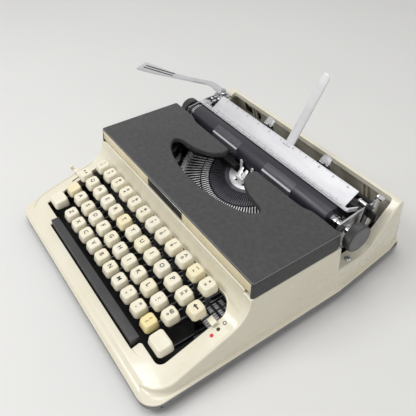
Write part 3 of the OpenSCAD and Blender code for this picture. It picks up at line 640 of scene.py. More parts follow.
def steel():
    return finish("dull_plated_steel", (0.46, 0.46, 0.47), (0.30, 0.30, 0.31), 120, rough=(0.3, 0.5),
                  metal=1.0, bump=("cloud", 900, 0.00002))


def dark_steel():
    # Steel darkened as painted shade, for parts deep inside the machine.
    return finish("darkened_steel", (0.10, 0.10, 0.105), (0.05, 0.05, 0.055), 160, rough=(0.32, 0.5),
                  metal=1.0, bump=("cloud", 900, 0.00002))


def type_metal():
    return finish("type_metal", (0.92, 0.92, 0.93), (0.7, 0.7, 0.71), 300, rough=(0.22, 0.38), metal=0.45,
                  bump=("cloud", 1500, 0.00002))


def segment_iron():
    return finish("oiled_iron", (0.13, 0.13, 0.155), (0.07, 0.07, 0.085), 140, rough=(0.28, 0.42), metal=0.6,
                  bump=("cloud", 1200, 0.00002))


def satin():
    return finish("satin_sheet", (0.68, 0.68, 0.70), (0.58, 0.58, 0.61), 90, (0.15, 1, 1), rough=(0.45, 0.6),
                  rough_scale=700, metal=0.3, bump=("cloud", 1400, 0.00001))


def black_gloss():
    return finish("black_gloss", paint(26, 26, 27), paint(38, 38, 40), 80, rough=(0.2, 0.35), gloss=0.3)


def black_paint():
    return finish("black_paint", paint(34, 33, 33), paint(20, 20, 20), 70, rough=(0.5, 0.7),
                  bump=("cloud", 900, 0.00003), gloss=0.25)


def pan_paint():
    return finish("pan_enamel", paint(128, 127, 130), paint(104, 103, 106), 40, rough=(0.3, 0.45),
                  bump=("cloud", 900, 0.00002))


def grey_plastic():
    return finish("dark_grey_plastic", paint(58, 57, 59), paint(46, 45, 47), 60, rough=(0.38, 0.55),
                  bump=("cloud", 1100, 0.00003))


def knob_face():
    # A lighter grey than the grip, for the knob's end face.
    return finish("worn_knob_face", paint(112, 111, 114), paint(92, 91, 94), 90, rough=(0.4, 0.55),
                  bump=("cloud", 900, 0.00003))


def platen_rubber():
    return finish("ground_platen", paint(44, 43, 53), paint(34, 33, 42), 45, (0.3, 1, 1), rough=(0.30, 0.42),
                  rough_scale=60, bump=("cloud", 900, 0.00002), gloss=0.4)


def clear_acrylic():
    return finish("clear_acrylic", (0.62, 0.62, 0.68), (0.55, 0.55, 0.6), 60, rough=(0.2, 0.3), gloss=0.4,
                  alpha=0.045)


def frosted_plastic():
    return finish("frosted_plastic", (0.86, 0.86, 0.88), (0.78, 0.78, 0.80), 60, rough=(0.12, 0.25),
                  clear=0.6, ior=1.45)


def white_plastic():
    return finish("white_arm", paint(249, 249, 251), paint(236, 236, 238), 50, rough=(0.32, 0.45),
                  bump=("cloud", 900, 0.00001))


def ribbon():
    return finish("inked_ribbon", paint(24, 24, 28), paint(36, 35, 40), 200, (1, 1, 4), rough=(0.6, 0.8),
                  bump=("cloud", 2500, 0.00005))


def rubber():
    return finish("soft_rubber", paint(38, 37, 37), paint(28, 27, 27), 90, rough=(0.7, 0.85),
                  bump=("cloud", 1000, 0.00005))


def brass():
    return finish("plain_brass", (0.62, 0.46, 0.18), (0.45, 0.32, 0.12), 120, rough=(0.25, 0.45), metal=1.0)


def dot_colour(name, colour):
    return finish(name, colour, tuple(c * 0.9 for c in colour), 300, rough=(0.35, 0.5))


# Body shell

def deck_z(y):
    """Height of the deck and its sweep over a given Y."""
    middle, height, r = SWEEP
    if y <= middle + r * math.sin(DECK_ANGLE):
        return DECK_FRONT[1] + DECK_TAN * (y - DECK_FRONT[0])
    reach = min(0.998, (y - middle) / r)
    return height - r * math.sqrt(1 - reach * reach)


def drawn_in(r, gap):
    """How far a corner of a given radius draws in, at a gap past the point where it starts."""
    return r - math.sqrt(max(0.0, r ** 2 - gap ** 2)) if gap > 0 else 0.0


def lip_half(y, wall):
    """Half width of the bottom lip over a given Y, moved inward by a wall."""
    start, loss, run = LIP_TAPER
    half = LIP_HALF - wall - max(0.0, y - start) * loss / run
    front, rear = (r - wall for r in LIP_CORNERS)
    half -= drawn_in(front, wall + LIP_Y[0] + front - y)
    return half - drawn_in(rear, y - (LIP_Y[1] - wall - rear))


def wall_half(y, z, wall):
    """Half width of the deck and side walls; the deck's front corners are rounder than their foot."""
    foot, extra, climb = DECK_CORNER
    corner = foot + extra * min(1.0, max(0.0, z + wall - LIP_TOP) / climb) - wall
    half = WALL_HALF - wall - max(0.0, z - LIP_TOP) * LEAN_TAN
    half -= drawn_in(corner, min(corner, wall + WALL_FRONT + corner - y))
    return min(half, lip_half(y, wall) - RIM_WIDTH)


def body_ring(y, top, ridge, bead, wall, base):
    """One section of the body across X: rim, flared wall, beaded ridge and top, as a closed ring."""
    rim = min(LIP_TOP - 0.6 * wall, top - 0.2)
    w, head = lip_half(y, wall), wall_half(y, top, wall)
    ridge = max(0.05, min(ridge, (top - rim) * 0.7))
    crest, edge = top + bead - ridge, head - ridge
    start = Vector((w - 2.3, rim - 0.05))
    level = max(start.y + 0.02, min(crest, start.y + FLARE))
    end = Vector((wall_half(y, level, wall) if level < crest else head, level))
    bend = Vector((end.x + 0.12 * (start.x - end.x), start.y + 0.02 * (end.y - start.y)))
    lip = [(w, base), (w, max(base + 0.05, rim - 0.5)), (w - 0.2, rim - 0.15), (w - 0.6, rim),
           (w - 1.4, rim)]
    flare = [tuple(start * (1 - t) ** 2 + bend * 2 * t * (1 - t) + end * t * t)
             for t in (0, 0.15, 0.3, 0.45, 0.6, 0.8, 1)]
    groove = [(edge - 0.5, top + bead), (edge - 1.0, top - 0.4 * bead), (edge - 2.0, top - 0.6 * bead),
              (edge - 3.0, top)]
    flat = [(head * f - ridge, top) for f in (0.8, 0.5, 0.25)] + [(0, top)]
    half = lip + flare + arc(edge, crest, ridge, 0, 90, 6) + groove + flat
    return [(x, y, z) for x, z in half + mirrored(half[:-1])]


def lip_outline(depth):
    """Plan of the bottom lip, moved inward."""
    front = [LIP_Y[0] + d for d in (0, 0.2, 0.8, 2, 4, 7, 11, 17)]
    rear = [LIP_Y[1] - d for d in (45, 8, 5, 2, 0.4, 0)]
    side = [(lip_half(y, 0.0), y) for y in front + [LIP_TAPER[0]] + rear]
    return inset(side + mirrored(side), depth)


def lip_band(rows):
    """A band round the bottom of the body; each row has a depth inward and a height."""
    return Shape().loft([[(x, y, z) for x, y in lip_outline(depth)] for depth, z in rows], True)


def body_stations(wall):
    """Stations along the body: Y, height of the top, radius of the side ridge and height of its bead."""
    look = bpy.context.scene.typewriter_body
    ridge, bead = look.ridge * PER_METRE, 0.0 if wall else look.bead * PER_METRE
    deck_start = -151.2
    nose = [(-160, 15.6), (-159.8, 16.6), (-159.3, 17.0), (-158.8, 16.95), (-158.4, 16.7), (-157, 16.75),
            (-155.6, 17.1), (-154.2, 17.7), (-153, 18.6), (-152, 19.5), (deck_start, 20.1)]
    made = [(y + wall, z - 0.9 * wall, ridge, 0.0) for y, z in nose]
    for y in (-150.4, -149.5, -148.3, -147, -145.5, -143.8, -142, -140, -137.5, -134.5, -131, -127, -120,
              -100, -85, -76):
        if y > deck_start + wall:
            made.append((y, deck_z(y) - wall * 1.04, ridge, bead * min(1.0, (y - deck_start) / 4)))
    middle, height, r = SWEEP
    crown_ease, ledge_ease, ramp_ease = 1.2, 1.4, 1.9
    for angle in (*range(-73, -9, 7), -5):
        turn = math.radians(angle)
        share = min(1.0, max(0.0, (-30 - angle) / 40))
        made.append((middle + (r + wall) * math.cos(turn), height + (r + wall) * math.sin(turn),
                     crown_ease + (ridge - crown_ease) * share, bead * share))
    crown, ledge, peak = 72 - wall, LEDGE_Z - wall, 83.5 - 1.5 * wall
    back = eased([(-50 + wall, 71.4 - wall), (-49.2 + wall, crown), (56 - wall, crown), (56 - wall, ledge),
                  (102 + 0.4 * wall, ledge), (138 + 0.7 * wall, peak), (143.5 - 0.7 * wall, peak),
                  (162.6 - wall, 18.5), (164.4 - wall, LIP_TOP), (LIP_Y[1] - wall, 15.4)],
                 [0, 0, 1.2, 3, 10, 3.5, 2.2, 3, 0.5, 0], 5, closed=False)
    for y, z in back:
        ease = crown_ease if y < 57 else ledge_ease if z < LEDGE_Z + 2 else ramp_ease
        made.append((y, z, ease, 0.0))
    return made


def key_opening():
    """Outline of the keyboard opening, seen from above."""
    points = [(-95.5, -144), (95.5, -144), (95.5, -135.6), (97.5, -134), (127, -134), (127, -56),
              (-129, -56), (-129, -134), (-95.5, -134)]
    return eased(points, [1.2, 1.2, 0.8, 1.5, 8, 14, 4, 2, 1], 6)


def shell_mesh():
    """The hollow shell with its keyboard opening, its carriage well and the touch lever's slot."""
    outer = Shape().loft([body_ring(*s, 0.0, 15.2) for s in body_stations(0.0)])
    inner = Shape().loft([body_ring(*s, SHELL_WALL, 10.5) for s in body_stations(SHELL_WALL)])
    opening = Shape().loft([[(x, y, z) for x, y in key_opening()] for z in (5, 90)])
    edge = eased([(-131, -47.5), (131, -47.5), (131, 138), (-131, 138)], [2, 2, 4, 4], 4)
    well = Shape().loft([[(x, y, z) for x, y in edge] for z in (5, 100)])
    slot = Shape().block((-136.2, -133.8), (-98, -74), (15, 60), 0.05, 1.0)
    return cut(outer.mesh("outer"), [tool.mesh("tool") for tool in (inner, opening, well, slot)])


def shell_trim():
    """What is moulded on the shell: a rise behind the deck, rear ribs, the opening's bead, screw posts."""
    trim = Shape()
    rise = eased([(-49.95, 66), (-47.55, 66), (-47.55, 75.4), (-49.95, 75.4)], [0, 0, 0.8, 0.8], 4)
    trim.plate(rise, -131.6, 131.6, 0.3, "YZ")
    for x in (-97, -91, 89, 95):
        trim.plate([(139.4, 80), (141.4, 80), (152.4, 42), (148.6, 42)], x, x + 2, 0.4, "YZ")
    bead = [(x, y, deck_z(y) - 1.15) for x, y in inset(key_opening(), -0.5)]
    trim.tube(bead, 1.12, 10, True)
    for side in (-1, 1):
        trim.turned([(10.6, 4.2), (40.5, 4.2)], (LEDGE_SCREW[0] * side, LEDGE_SCREW[1], 0), "Z", 24)
    return trim.mesh("trim")


def rear_cutout():
    """A black plate low on the inside of the rear wall: a patch of painted shade."""
    outline = eased([(-116, 0), (-84, 0), (-84, 10), (-110.5, 10), (-110.5, 19), (-116, 19)],
                    [2, 3, 3, 1, 1.5, 1.5], 5)
    lean = Matrix.Translation((0, 147.6, 60)) @ Matrix.Rotation(math.radians(16.64), 4, "X")
    return Shape().plate(outline, -0.3, 0.8, 0.1, "XZ", lean)


def ledge_screws():
    """A slotted screw on each carriage ledge, with its stem."""
    x, y = LEDGE_SCREW
    head = Shape().turned([(42.1, 3.6), (43.0, 3.6), (43.9, 3.0), (44.15, 2.0), (44.15, 0.01)],
                          (0, 0, 0), "Z", 24)
    slot = Shape().block((-5, 5), (-0.55, 0.55), (43.2, 46), 0.02)
    marks = [((x, y, 0), (0, 0, 0.6)), ((-x, y, 0), (0, 0, 1.9))]
    heads = on_marks(cut(head.mesh("head"), [slot.mesh("slot")]), marks, chrome())
    stems = Shape()
    for side in (-1, 1):
        stems.turned([(14.6, 1.6), (15.2, 1.9), (42.4, 1.9)], (x * side, y, 0), "Z", 16)
    return joined("ledge_screws", [heads, stems.mesh("stems")])


class TYPEWRITER_OT_body(bpy.types.Operator):
    """Moulded cream body with its lip, sweep, carriage ledges and rear wall"""
    bl_idname = "typewriter.body"
    bl_label = "Body shell"

    def execute(self, context):
        shell = joined("moulded_body", [shell_mesh(), shell_trim()])
        piece("moulded_body", shell, "body", cream(), ["body_shell"], 38)
        band = lip_band([(0.2, 9.0), (0.1, 9.5), (0.1, 13.6), (0.5, 14.1), (2.4, 14.1), (2.4, 9.0)])
        piece("pan_edge", band, "body", pan_paint())
        seam = lip_band([(1.0, 13.9), (1.0, 15.5), (2.4, 15.5), (2.4, 13.9)])
        piece("pan_seam", seam, "body", black_paint())
        # A black plate of painted shade on the inside of the rear wall.
        piece("rear_cutout", rear_cutout(), "body", black_paint())
        piece("ledge_screws", ledge_screws(), "body", chrome(), ["shell_screws"])
        return {"FINISHED"}


# Ribbon cover

def cover_outline():
    """Plan of the ribbon cover with its mouth, as one loop; each point has its edge radius and depth."""
    side, (front, rear), turn = COVER_HALF, COVER_Y, 2.4
    fold, skirt, drop = 1.4, 4.2, COVER_TOP - HINGE[1]
    edge = [(-side + turn, front, fold, 2.0), (side - turn, front, fold, 2.0)]
    edge += [(x, y, fold, 17.4) for x, y in arc(side - turn, front + turn, turn, -68, 0, 3)]
    flank = [(side, y) for y in (-10, 30, 44, 47, 49.5)] + arc(side - turn, rear - turn, turn, 0, 90, 4)
    for x, y in flank:
        edge.append((x, y, fold, drop + math.sqrt(HINGE_REACH ** 2 - max(0.0, y - HINGE[0]) ** 2)))
    edge += [(130, rear, 1.5, skirt), (110, rear, 1.6, skirt)]
    bend = through([(101, 53.5), (97, 51.8), (91, 50.2), (82, 49.6)], 4) + [(60, 49.5), (40, 49.2)]
    half = [(x, y, 2.4, 5.5) for x, y in bend]
    half += [(x, y, 2.1, 6.0) for x, y in arc(26.9, 44.7, 4.5, 90, 174, 5)]
    wing = through([(22, 40), (24.9, 33.8), (31, 27.6), (45, 21), (58, 18.2), (68, 16.6), (73.4, 14.4),
                    (75.2, 11)], 4)
    half += [(x, y, 2.6, 6.5) for x, y in wing]
    bowl = [(75 * math.cos(math.radians(a)), 13 + 27 * math.sin(math.radians(a)))
            for a in range(-11, -90, -6)]
    half += [(x, y, 2.2, 5.0) for x, y in bowl]
    return edge + half + [(0, -14, 2.2, 5.0)] + mirrored(edge[2:] + half)


def worn_edge(x, y, z):
    """1 on the strip of painted highlight along the cover's outer edges, and 0 elsewhere."""
    outer = abs(x) > 136 or y < -45
    return 1.0 if outer and 89.3 < z < 89.8 else 0.0


def lid_mesh():
    """The cover's sheet, folded over along its edges, with its two hinge lugs."""
    loop = cover_outline()
    plan = [p[:2] for p in loop]
    rings = []
    for k in range(5):
        a = math.radians(90 * k / 4)
        line = inset(plan, [p[2] * (1 - math.sin(a)) for p in loop])
        rings.append([(x, y, COVER_TOP - p[2] * (1 - math.cos(a))) for (x, y), p in zip(line, loop)])
    flare = [-(p[3] - p[2]) * LEAN_TAN if p[3] > 12 else 0.0 for p in loop]
    rings.append([(x, y, COVER_TOP - p[3]) for (x, y), p in zip(inset(plan, flare), loop)])
    shape = Shape().loft(rings, caps=False)
    shape.faces.append(list(range(len(plan))))
    mesh = shape.mesh("cover_skin")
    # The tint marks the strip of painted highlight along the cover's outer edges.
    mesh.attributes.new("tint", "FLOAT", "POINT")
    for k, point in enumerate(mesh.vertices):
        mesh.attributes["tint"].data[k].value = worn_edge(*(point.co / MM))
    obj = bench("cover_skin", mesh)
    skin = obj.modifiers.new("Sheet", "SOLIDIFY")
    skin.thickness, skin.offset, skin.use_even_offset = 1.3 * MM, -1.0, False
    lugs = Shape()
    outline = eased([(41.5, 81.5), (48, 81.5), (48, 88.6), (41.5, 88.6)], 2, 4)
    for x in (-122.0, 118.2):
        lugs.plate(outline, x, x + 3.8, 0.3, "YZ")
    return joined("ribbon_lid", [baked(obj), lugs.mesh("lugs")])


class TYPEWRITER_OT_cover(bpy.types.Operator):
    """Grained ribbon cover with its rolled mouth, the cream fascia and the bare name plate"""
    bl_idname = "typewriter.cover"
    bl_label = "Ribbon cover"

    def execute(self, context):
        piece("ribbon_lid", lid_mesh(), "cover", charcoal(), ["ribbon_cover"], 50)
        outline = eased([(-139.9, 76.1), (139.9, 76.1), (138.8, 88.1), (-138.8, 88.1)], 0.8, 3)
        strip = Shape().plate(outline, -48.4, -46.6, 0.35, "XZ")
        piece("cream_fascia", strip, "cover", fascia_cream(), ["cover_fascia"])
        outline = eased([(-32.2, 77.8), (32.2, 77.8), (32.2, 87.9), (-32.2, 87.9)], 0.6, 3)
        sign = Shape().plate(outline, -48.95, -48.35, 0.15, "XZ")
        piece("bare_name_plate", sign, "cover", black_paint(), ["nameplate"])
        rim = Shape().tube([(x, -48.8, z) for x, z in outline], 0.32, 6, True, (0, 1, 0))
        piece("plate_edging", rim, "cover", steel())
        return {"FINISHED"}


# Keys

# Depth of a legend in its cap's dish, in metres: a single mark, and one of a pair
MARK_SINK, PAIR_SINK = -0.0003, -0.00016
ROW_MARKS = (
    [(i, "1234567890-="[i], "!\"#$%&'()^_+"[i]) for i in range(12)],
    [(i + 1, c, None) for i, c in enumerate("QWER YUIOP") if c != " "] + [(11, "½", "¼")],
    [(i + 1, c, None) for i, c in enumerate("ASDFGHJKL")] + [(10, ";", ":"), (11, "°", "@")],
    [(i, c, None) for i, c in enumerate("ZXCVBNM")] + [(7, ",", "'"), (8, ".", "\""), (9, "/", "?")],
)
SMALL_MARKS = ",.;:-_^'\"°"
# How yellow the aged caps of each row are, by place
ROW_TINTS = ({10: 0.45, 8: 0.12, 3: 0.1}, {7: 0.25, 4: 0.1}, {5: 0.12, 9: 0.2}, {9: 1.6, 4: 0.15})
# Places of the caps that move with their row
ROW_PLACES = (range(12), [1, 2, 3, 4, 6, 7, 8, 9, 10, 11], range(1, 12), range(10))
# Keys that move alone: body, node, row, place and tint
SINGLE_KEYS = (("letter_t", "key_t", 1, 5, 0.5), ("margin_key", "margin_release_key", 1, 0, 0.05),
               ("back_key", "backspace_key", 1, 12, 0.3), ("lock_key", "shift_lock_key", 2, 0, 0.5))


def key_x(row, place):
    """X of a key in its row."""
    return FIRST_X + (ROW_SHIFT[row] + place) * PITCH


def cap_mesh(width, depth):
    """A moulded cap: a soft tapered block with a dished, sloping top; its origin is the top's centre."""
    look = bpy.context.scene.typewriter_keys
    corner, dish = look.corner * PER_METRE, look.dish * PER_METRE

    def square(shrink, soft):
        w, d = width / 2 - shrink, depth / 2 - shrink
        return eased([(-w, -d), (w, -d), (w, d), (-w, d)], soft, 5)
    rings = []
    for drop, shrink in ((9.0, 0.25), (8.6, 0.05), (5.0, 0.55), (1.9, 1.02), (1.0, 1.22), (0.4, 1.6),
                         (0.08, 2.2)):
        slope = math.tan(CAP_TILT) * max(0.0, 1 - drop / 8)
        rings.append([(x, y, -drop + y * slope) for x, y in square(shrink, corner - shrink * 0.3)])
    outline = square(2.9, corner - 0.9)
    for share in (1.0, 0.75, 0.5, 0.25):
        lower = dish * (1 - share ** 2)
        rings.append([(x * share, y * share, -lower + y * share * math.tan(CAP_TILT)) for x, y in outline])
    return Shape().loft(rings).mesh("cap")


def lever_shape(x, y, top):
    """A flat key lever from the fulcrum rod to the stem under its cap."""
    half, (fy, fz) = 2.5, FULCRUM
    low, high = fz - half, fz + half
    outline = eased([(y - half, low), (fy, low), (fy + 4, fz), (fy, high), (y + half, high),
                     (y + half, top), (y - half, top)], [2, 0, 4, 0, 2, 0, 0], 4)
    return Shape().plate(outline, x - 0.6, x + 0.6, 0.12, "YZ")


def text_mesh(words, height, place, weight=0.0):
    """A word as a flat mesh, centred, in millimetres, and then put in its place."""
    curve = bpy.data.curves.new("words", "FONT")
    curve.body, curve.size, curve.resolution_u = words, height * MM, 2
    curve.align_x, curve.align_y, curve.offset = "CENTER", "CENTER", weight * MM
    mesh = baked(bench("words", curve))
    bpy.data.curves.remove(curve)
    across, up = ([p.co[axis] for p in mesh.vertices] for axis in (0, 1))
    middle = Vector((min(across) + max(across), min(up) + max(up), 0)) / 2
    mesh.transform(place @ Matrix.Translation(-middle))
    return mesh


def cap_place(x, row):
    """The frame of a cap's top: its centre, with Y up its slope."""
    spot = Vector((x, ROWS_Y[row], ROWS_Z[row]))
    return Matrix.Translation(spot * MM) @ Matrix.Rotation(CAP_TILT, 4, "X")


def legends(row, items):
    """Legends of a row: each item is a place in the row, a lower and an upper mark."""
    meshes = []
    for place, lower, upper in items:
        spot = cap_place(key_x(row, place), row)
        if not upper:
            meshes.append(text_mesh(lower, 6.6, spot @ Matrix.Translation((0, 0, MARK_SINK)), 0.14))
            continue
        for mark, up in ((upper, 2.4), (lower, -2.5)):
            height = 8.0 if mark in SMALL_MARKS else 5.0
            shift = Matrix.Translation((0, up * MM, PAIR_SINK))
            meshes.append(text_mesh(mark, height, spot @ shift, 0.11))
    return joined("legends", meshes)


def cap_sign(shape, place):
    """A drawn sign put on the cap at a place in the second row."""
    mesh = shape.mesh("sign")
    mesh.transform(cap_place(key_x(1, place), 1) @ Matrix.Translation((0, 0, MARK_SINK)))
    return mesh


class TYPEWRITER_OT_keys(bpy.types.Operator):
    """Ivory caps with their legends, the keys that move alone, the shift keys and the space bar"""
    bl_idname = "typewriter.keys"
    bl_label = "Keys"

    def execute(self, context):
        cap, upright = cap_mesh(15.4, 15.4), (0, 0, 0)
        for row, places in enumerate(ROW_PLACES):
            y, z, end = ROWS_Y[row], ROWS_Z[row], str(row + 1)
            marks = [((key_x(row, i), y, z), upright, ROW_TINTS[row].get(i, 0.04 * (i % 3))) for i in places]
            caps = on_marks(cap.copy(), marks, ivory())
            piece("ivory_caps_" + end, caps, "keys_" + end, ivory(), ["caps_row_" + end], 45)
            ink = legends(row, ROW_MARKS[row])
            piece("legends_" + end, ink, "keys_" + end, legend_ink())
        for body, node, row, place, tint in SINGLE_KEYS:
            x, y, z = key_x(row, place), ROWS_Y[row], ROWS_Z[row]
            mesh = on_marks(cap.copy(), [((x, y, z), upright, tint)], ivory())
            piece(node + "_cap", mesh, body, ivory(), [node], 45)
            # The lone key's lever is darkened as painted shade.
            piece(node + "_lever", lever_shape(x, y, z - 8.9), body, dark_steel())
        ink = legends(1, [(5, "T", None)])
        piece("legend_t", ink, "letter_t", legend_ink())
        arrow = Shape().plate([(-3.6, 0), (-0.8, 2.2), (-0.8, 0.7), (3.2, 0.7), (3.2, -0.7), (-0.8, -0.7),
                               (-0.8, -2.2)], 0, 0.12, 0.02)
        piece("back_arrow", cap_sign(arrow, 12), "back_key", legend_ink())
        stops = Shape()
        for turn in (0, math.pi):
            stops.plate([(0.6, 0), (2.6, 1.5), (2.6, 0.4), (3.6, 0.4), (3.6, -0.4), (2.6, -0.4), (2.6, -1.5)],
                        0, 0.12, 0.02, place=Matrix.Rotation(turn, 4, "Z"))
        piece("release_mark", cap_sign(stops, 0), "margin_key", legend_ink())
        marks = [((x, SHIFT_KEYS[1], ROWS_Z[3]), upright) for x in SHIFT_KEYS[0]]
        wide = on_marks(cap_mesh(21.8, 16.9), marks, ivory())
        piece("shift_key_caps", wide, "shift", ivory(), ["shift_caps"], 45)
        bar = eased_copy("space_bar", 1.1, 3)
        piece("space_bar_moulding", bar, "space", grey_plastic(), ["space_bar"])
        return {"FINISHED"}


# Type basket

def bar_mesh(bright):
    """One type bar along +X of the basket: its blade, darkened as painted shade, or the painted highlight
    strips along its top edge together with its two-step type head.
    """
    shape = Shape()
    if bright:
        # Painted highlight: lighter strips along the blade's top edge, where the light falls.
        for start, end, top in ((52.0, 60.5, 0.3), (62.0, 83.0, -0.2)):
            shape.block((start, end), (-0.62, 0.62), (top - 0.9, top), 0.2)
        shape.block((82.0, 86.9), (-1.65, 1.65), (-3.3, 3.3), 0.25)
        shape.block((82.6, 86.6), (-1.2, 1.2), (3.1, 4.45), 0.3)
    else:
        # Painted shade: the blade is dark so the gaps between the bars read as in shade.
        blade = eased([(41.6, -3.4), (60, -3.3), (83, -3.0), (83, -0.9), (46, -0.5), (41.6, -1.2)], 0.5, 2)
        shape.plate(blade, -0.42, 0.42, 0.1, "XZ")
    return shape.mesh("bar")


def bar_fan(bright, metal, place):
    """The fan of type bars, without the middle one, which swings."""
    look = bpy.context.scene.typewriter_basket
    bar = bench("bar", bar_mesh(bright))
    made = run_tree(tree(fan_tree), one_point(),
                    {"Piece": bar, "Count": look.bars, "First": math.radians(205),
                     "Spread": math.radians(130), "Left out": look.bars // 2, "Finish": metal})
    bpy.data.objects.remove(bar)
    made.transform(place)
    return made


def type_guide():
    """The leaning, forked guide that the type heads enter, on its foot."""
    prong = [(6.0, -1.0), (6.0, 10.4), (4.8, 11.6), (2.6, 11.6), (1.9, 11.0), (1.9, 8.0), (0.55, 7.4),
             (0.55, 2.5)]
    lean = Matrix.Translation((0, 46.4, 65.8)) @ Matrix.Rotation(math.radians(-40), 4, "X")
    guide = Shape().plate(eased(prong + mirrored(prong), 0.3, 3), 0, 1.2, 0.2, "XZ", lean)
    return guide.block((-6.0, 6.0), (45.4, 48.4), (62.8, 66.2), 0.3, 0.5)


def fork_ears():
    """Two upright ears of the ribbon fork."""
    ears = Shape()
    for side in (-1, 1):
        outline = [(side * 7.2, 70), (side * 11.4, 70), (side * 11.4, 80.4), (side * 7.2, 78.6)]
        ears.plate(eased(outline, 0.8, 4), 55.5, 56.5, 0.2, "XZ")
    return ears.mesh("ears")


def card_holders():
    """Clear wings round the platen, the bright strips along their edges and their brackets."""
    wings, strips, feet = Shape(), Shape(), Shape()
    film = (15.4, 16.2)
    curve = arc(*PLATEN, film[0], 114, 172, 20) + arc(*PLATEN, film[1], 172, 114, 20)
    inner, edge = (Vector(arc(*PLATEN, r, 149, 149, 1)[0]) for r in (15.5, 17.0))
    strip = [(-1.0, -0.9), (1.0, -0.9), (1.0, 0.1), (-1.0, 0.1)]
    for side in (-1, 1):
        x = sorted((side * 22, side * 67))
        wings.loft([[(end, y, z) for y, z in curve] for end in x])
        wings.block(x, (55.9, 56.7), (71.2, 79.2), 0.1)
        strips.swept([(x[0] + 0.2, *edge), (x[1] - 0.2, *edge)], strip, up=(0, *(edge - inner)))
        feet.block(sorted((side * 14, side * 68)), (49, 57.0), (69, 71), 0.2, 0.6)
    return wings, strips, feet


class TYPEWRITER_OT_type_basket(bpy.types.Operator):
    """Fan of type bars, segment and its plate, type guide, ribbon fork and card holders"""
    bl_idname = "typewriter.type_basket"
    bl_label = "Type basket"

    def execute(self, context):
        place = Matrix.Translation(BASKET.translation * MM) @ BASKET.to_3x3().to_4x4()
        upward = place @ Matrix.Rotation(math.radians(270), 4, "Z")
        # The blades are darkened as painted shade, and the heads' part adds painted highlight strips along
        # their tops.
        for part, bright, metal in (("blades", False, dark_steel()), ("heads", True, type_metal())):
            fan = bar_fan(bright, metal, place)
            piece("type_bar_" + part, fan, "basket", metal, ["typebars"] if bright else [])
            single = bar_mesh(bright)
            single.transform(upward)
            piece("type_bar_t_" + part, single, "typebar", metal,
                  ["typebar_t"] if bright else [])
        dress("segment", segment_iron())
        plate = eased_copy("segment_plate", 0.25)
        piece("bright_segment_plate", plate, "basket", type_metal(), ["segment_plate"])
        piece("bright_type_guide", type_guide(), "basket", type_metal(), ["type_guide"])
        fork = joined("ribbon_fork", [eased_copy("ribbon_vibrator", 0.2), fork_ears()])
        piece("ribbon_fork", fork, "vibrator", type_metal(), ["ribbon_vibrator"])
        wings, strips, feet = card_holders()
        piece("clear_card_wings", wings, "body", clear_acrylic(), ["card_holders"])
        piece("card_wing_edges", strips, "body", satin())
        piece("card_wing_brackets", feet, "body", black_paint())
        return {"FINISHED"}


# Platen, its knobs and what turns with it

def platen_arbor():
    """The platen's shaft with a collar at each end and two chrome rings at the left."""
    centre = (0, *PLATEN)
    shaft = Shape().turned([(-139, 0.5), (-139, 4), (145, 4), (145, 0.5)], centre, "X", 32)
    collar = ((114.2, 4.2), (114.2, 9), (115.4, 9), (115.4, 6), (120, 6), (120, 4.2))
    for side in (-1, 1):
        shaft.turned([(side * x, r) for x, r in collar], centre, "X", 40)
    for x, r in ((-114.7, 14.2), (-118.9, 12.6)):
        ring = [(x, 4.2), (x, r - 0.3), (x - 0.3, r), (x - 0.7, r), (x - 1.0, r - 0.3), (x - 1.0, 4.2)]
        shaft.turned(ring, centre, "X", 64)
    return shaft


def knob_shapes(side, inner, outer, r):
    """A fluted knob on the platen's shaft, and the lighter grey face in its end."""
    centre = (0, *PLATEN)

    def flute(k):
        return r - 0.4 * (k % 2)
    rim = [(inner, 4.1), (inner, r - 1.5), (inner + 0.8, r - 0.45), (inner + 1.4, flute),
           (outer - 1.2, flute), (outer - 0.6, r - 0.35), (outer - 0.15, r - 0.6), (outer, r - 0.9),
           (outer - 0.25, r - 1.2)]
    face = [(outer - 0.6, r - 1.1), (outer - 0.25, r - 1.3), (outer - 0.1, r - 2.1), (outer - 0.15, 4.0),
            (outer - 0.2, 0.1)]
    return (Shape().turned([(side * x, radius) for x, radius in rim], centre, "X", 160),
            Shape().turned([(side * x, radius) for x, radius in face], centre, "X", 64))


class TYPEWRITER_OT_platen(bpy.types.Operator):
    """Rubber platen with its shaft, ribbed knobs and ratchet wheel"""
    bl_idname = "typewriter.platen"
    bl_label = "Platen and knobs"

    def execute(self, context):
        roll = Shape().turned([(-114, 4.05), (-114, 13.6), (-113.2, 14.3), (-112.4, 14.5), (112.4, 14.5),
                               (113.2, 14.3), (114, 13.6), (114, 4.05)], (0, *PLATEN), "X", 96)
        piece("platen_roll", roll, "platen", platen_rubber(), ["platen_roller"])
        piece("platen_arbor", platen_arbor(), "platen", chrome(), ["platen_shaft"])
        for node, *sizes in (("knob_right", 1, 138.4, 147.8, 14.35), ("knob_left", -1, 132.0, 141.0, 12.4)):
            grip, face = knob_shapes(*sizes)
            piece(node + "_grip", grip, "platen", grey_plastic(), [node], 30)
            piece(node + "_face", face, "platen", knob_face())
        dress("ratchet_wheel", steel())
        return {"FINISHED"}


# Paper table, bail and support

TABLE_R, TABLE_START, TABLE_TOP = 15.5, 22, (105.3, 95.4)


def paper_table():
    """The curved sheet behind the platen, its cross rail and the support arm's seat."""
    section = arc(*PLATEN, TABLE_R, -70, TABLE_START, 30) + [TABLE_TOP, (105.9, 94.7)]
    section += arc(*PLATEN, TABLE_R + 1.0, 17, -70, 28)
    sheet = Shape().plate(section, -112, 112, 0.1, "YZ")
    sheet.block((83, 87.5), (62, 66), (-127, 127), 0.3, 0.5, "YZ")
    return sheet.block((4, 16), (88.2, 94.2), (101.2, 106), 0.4, 1.0, "XZ")


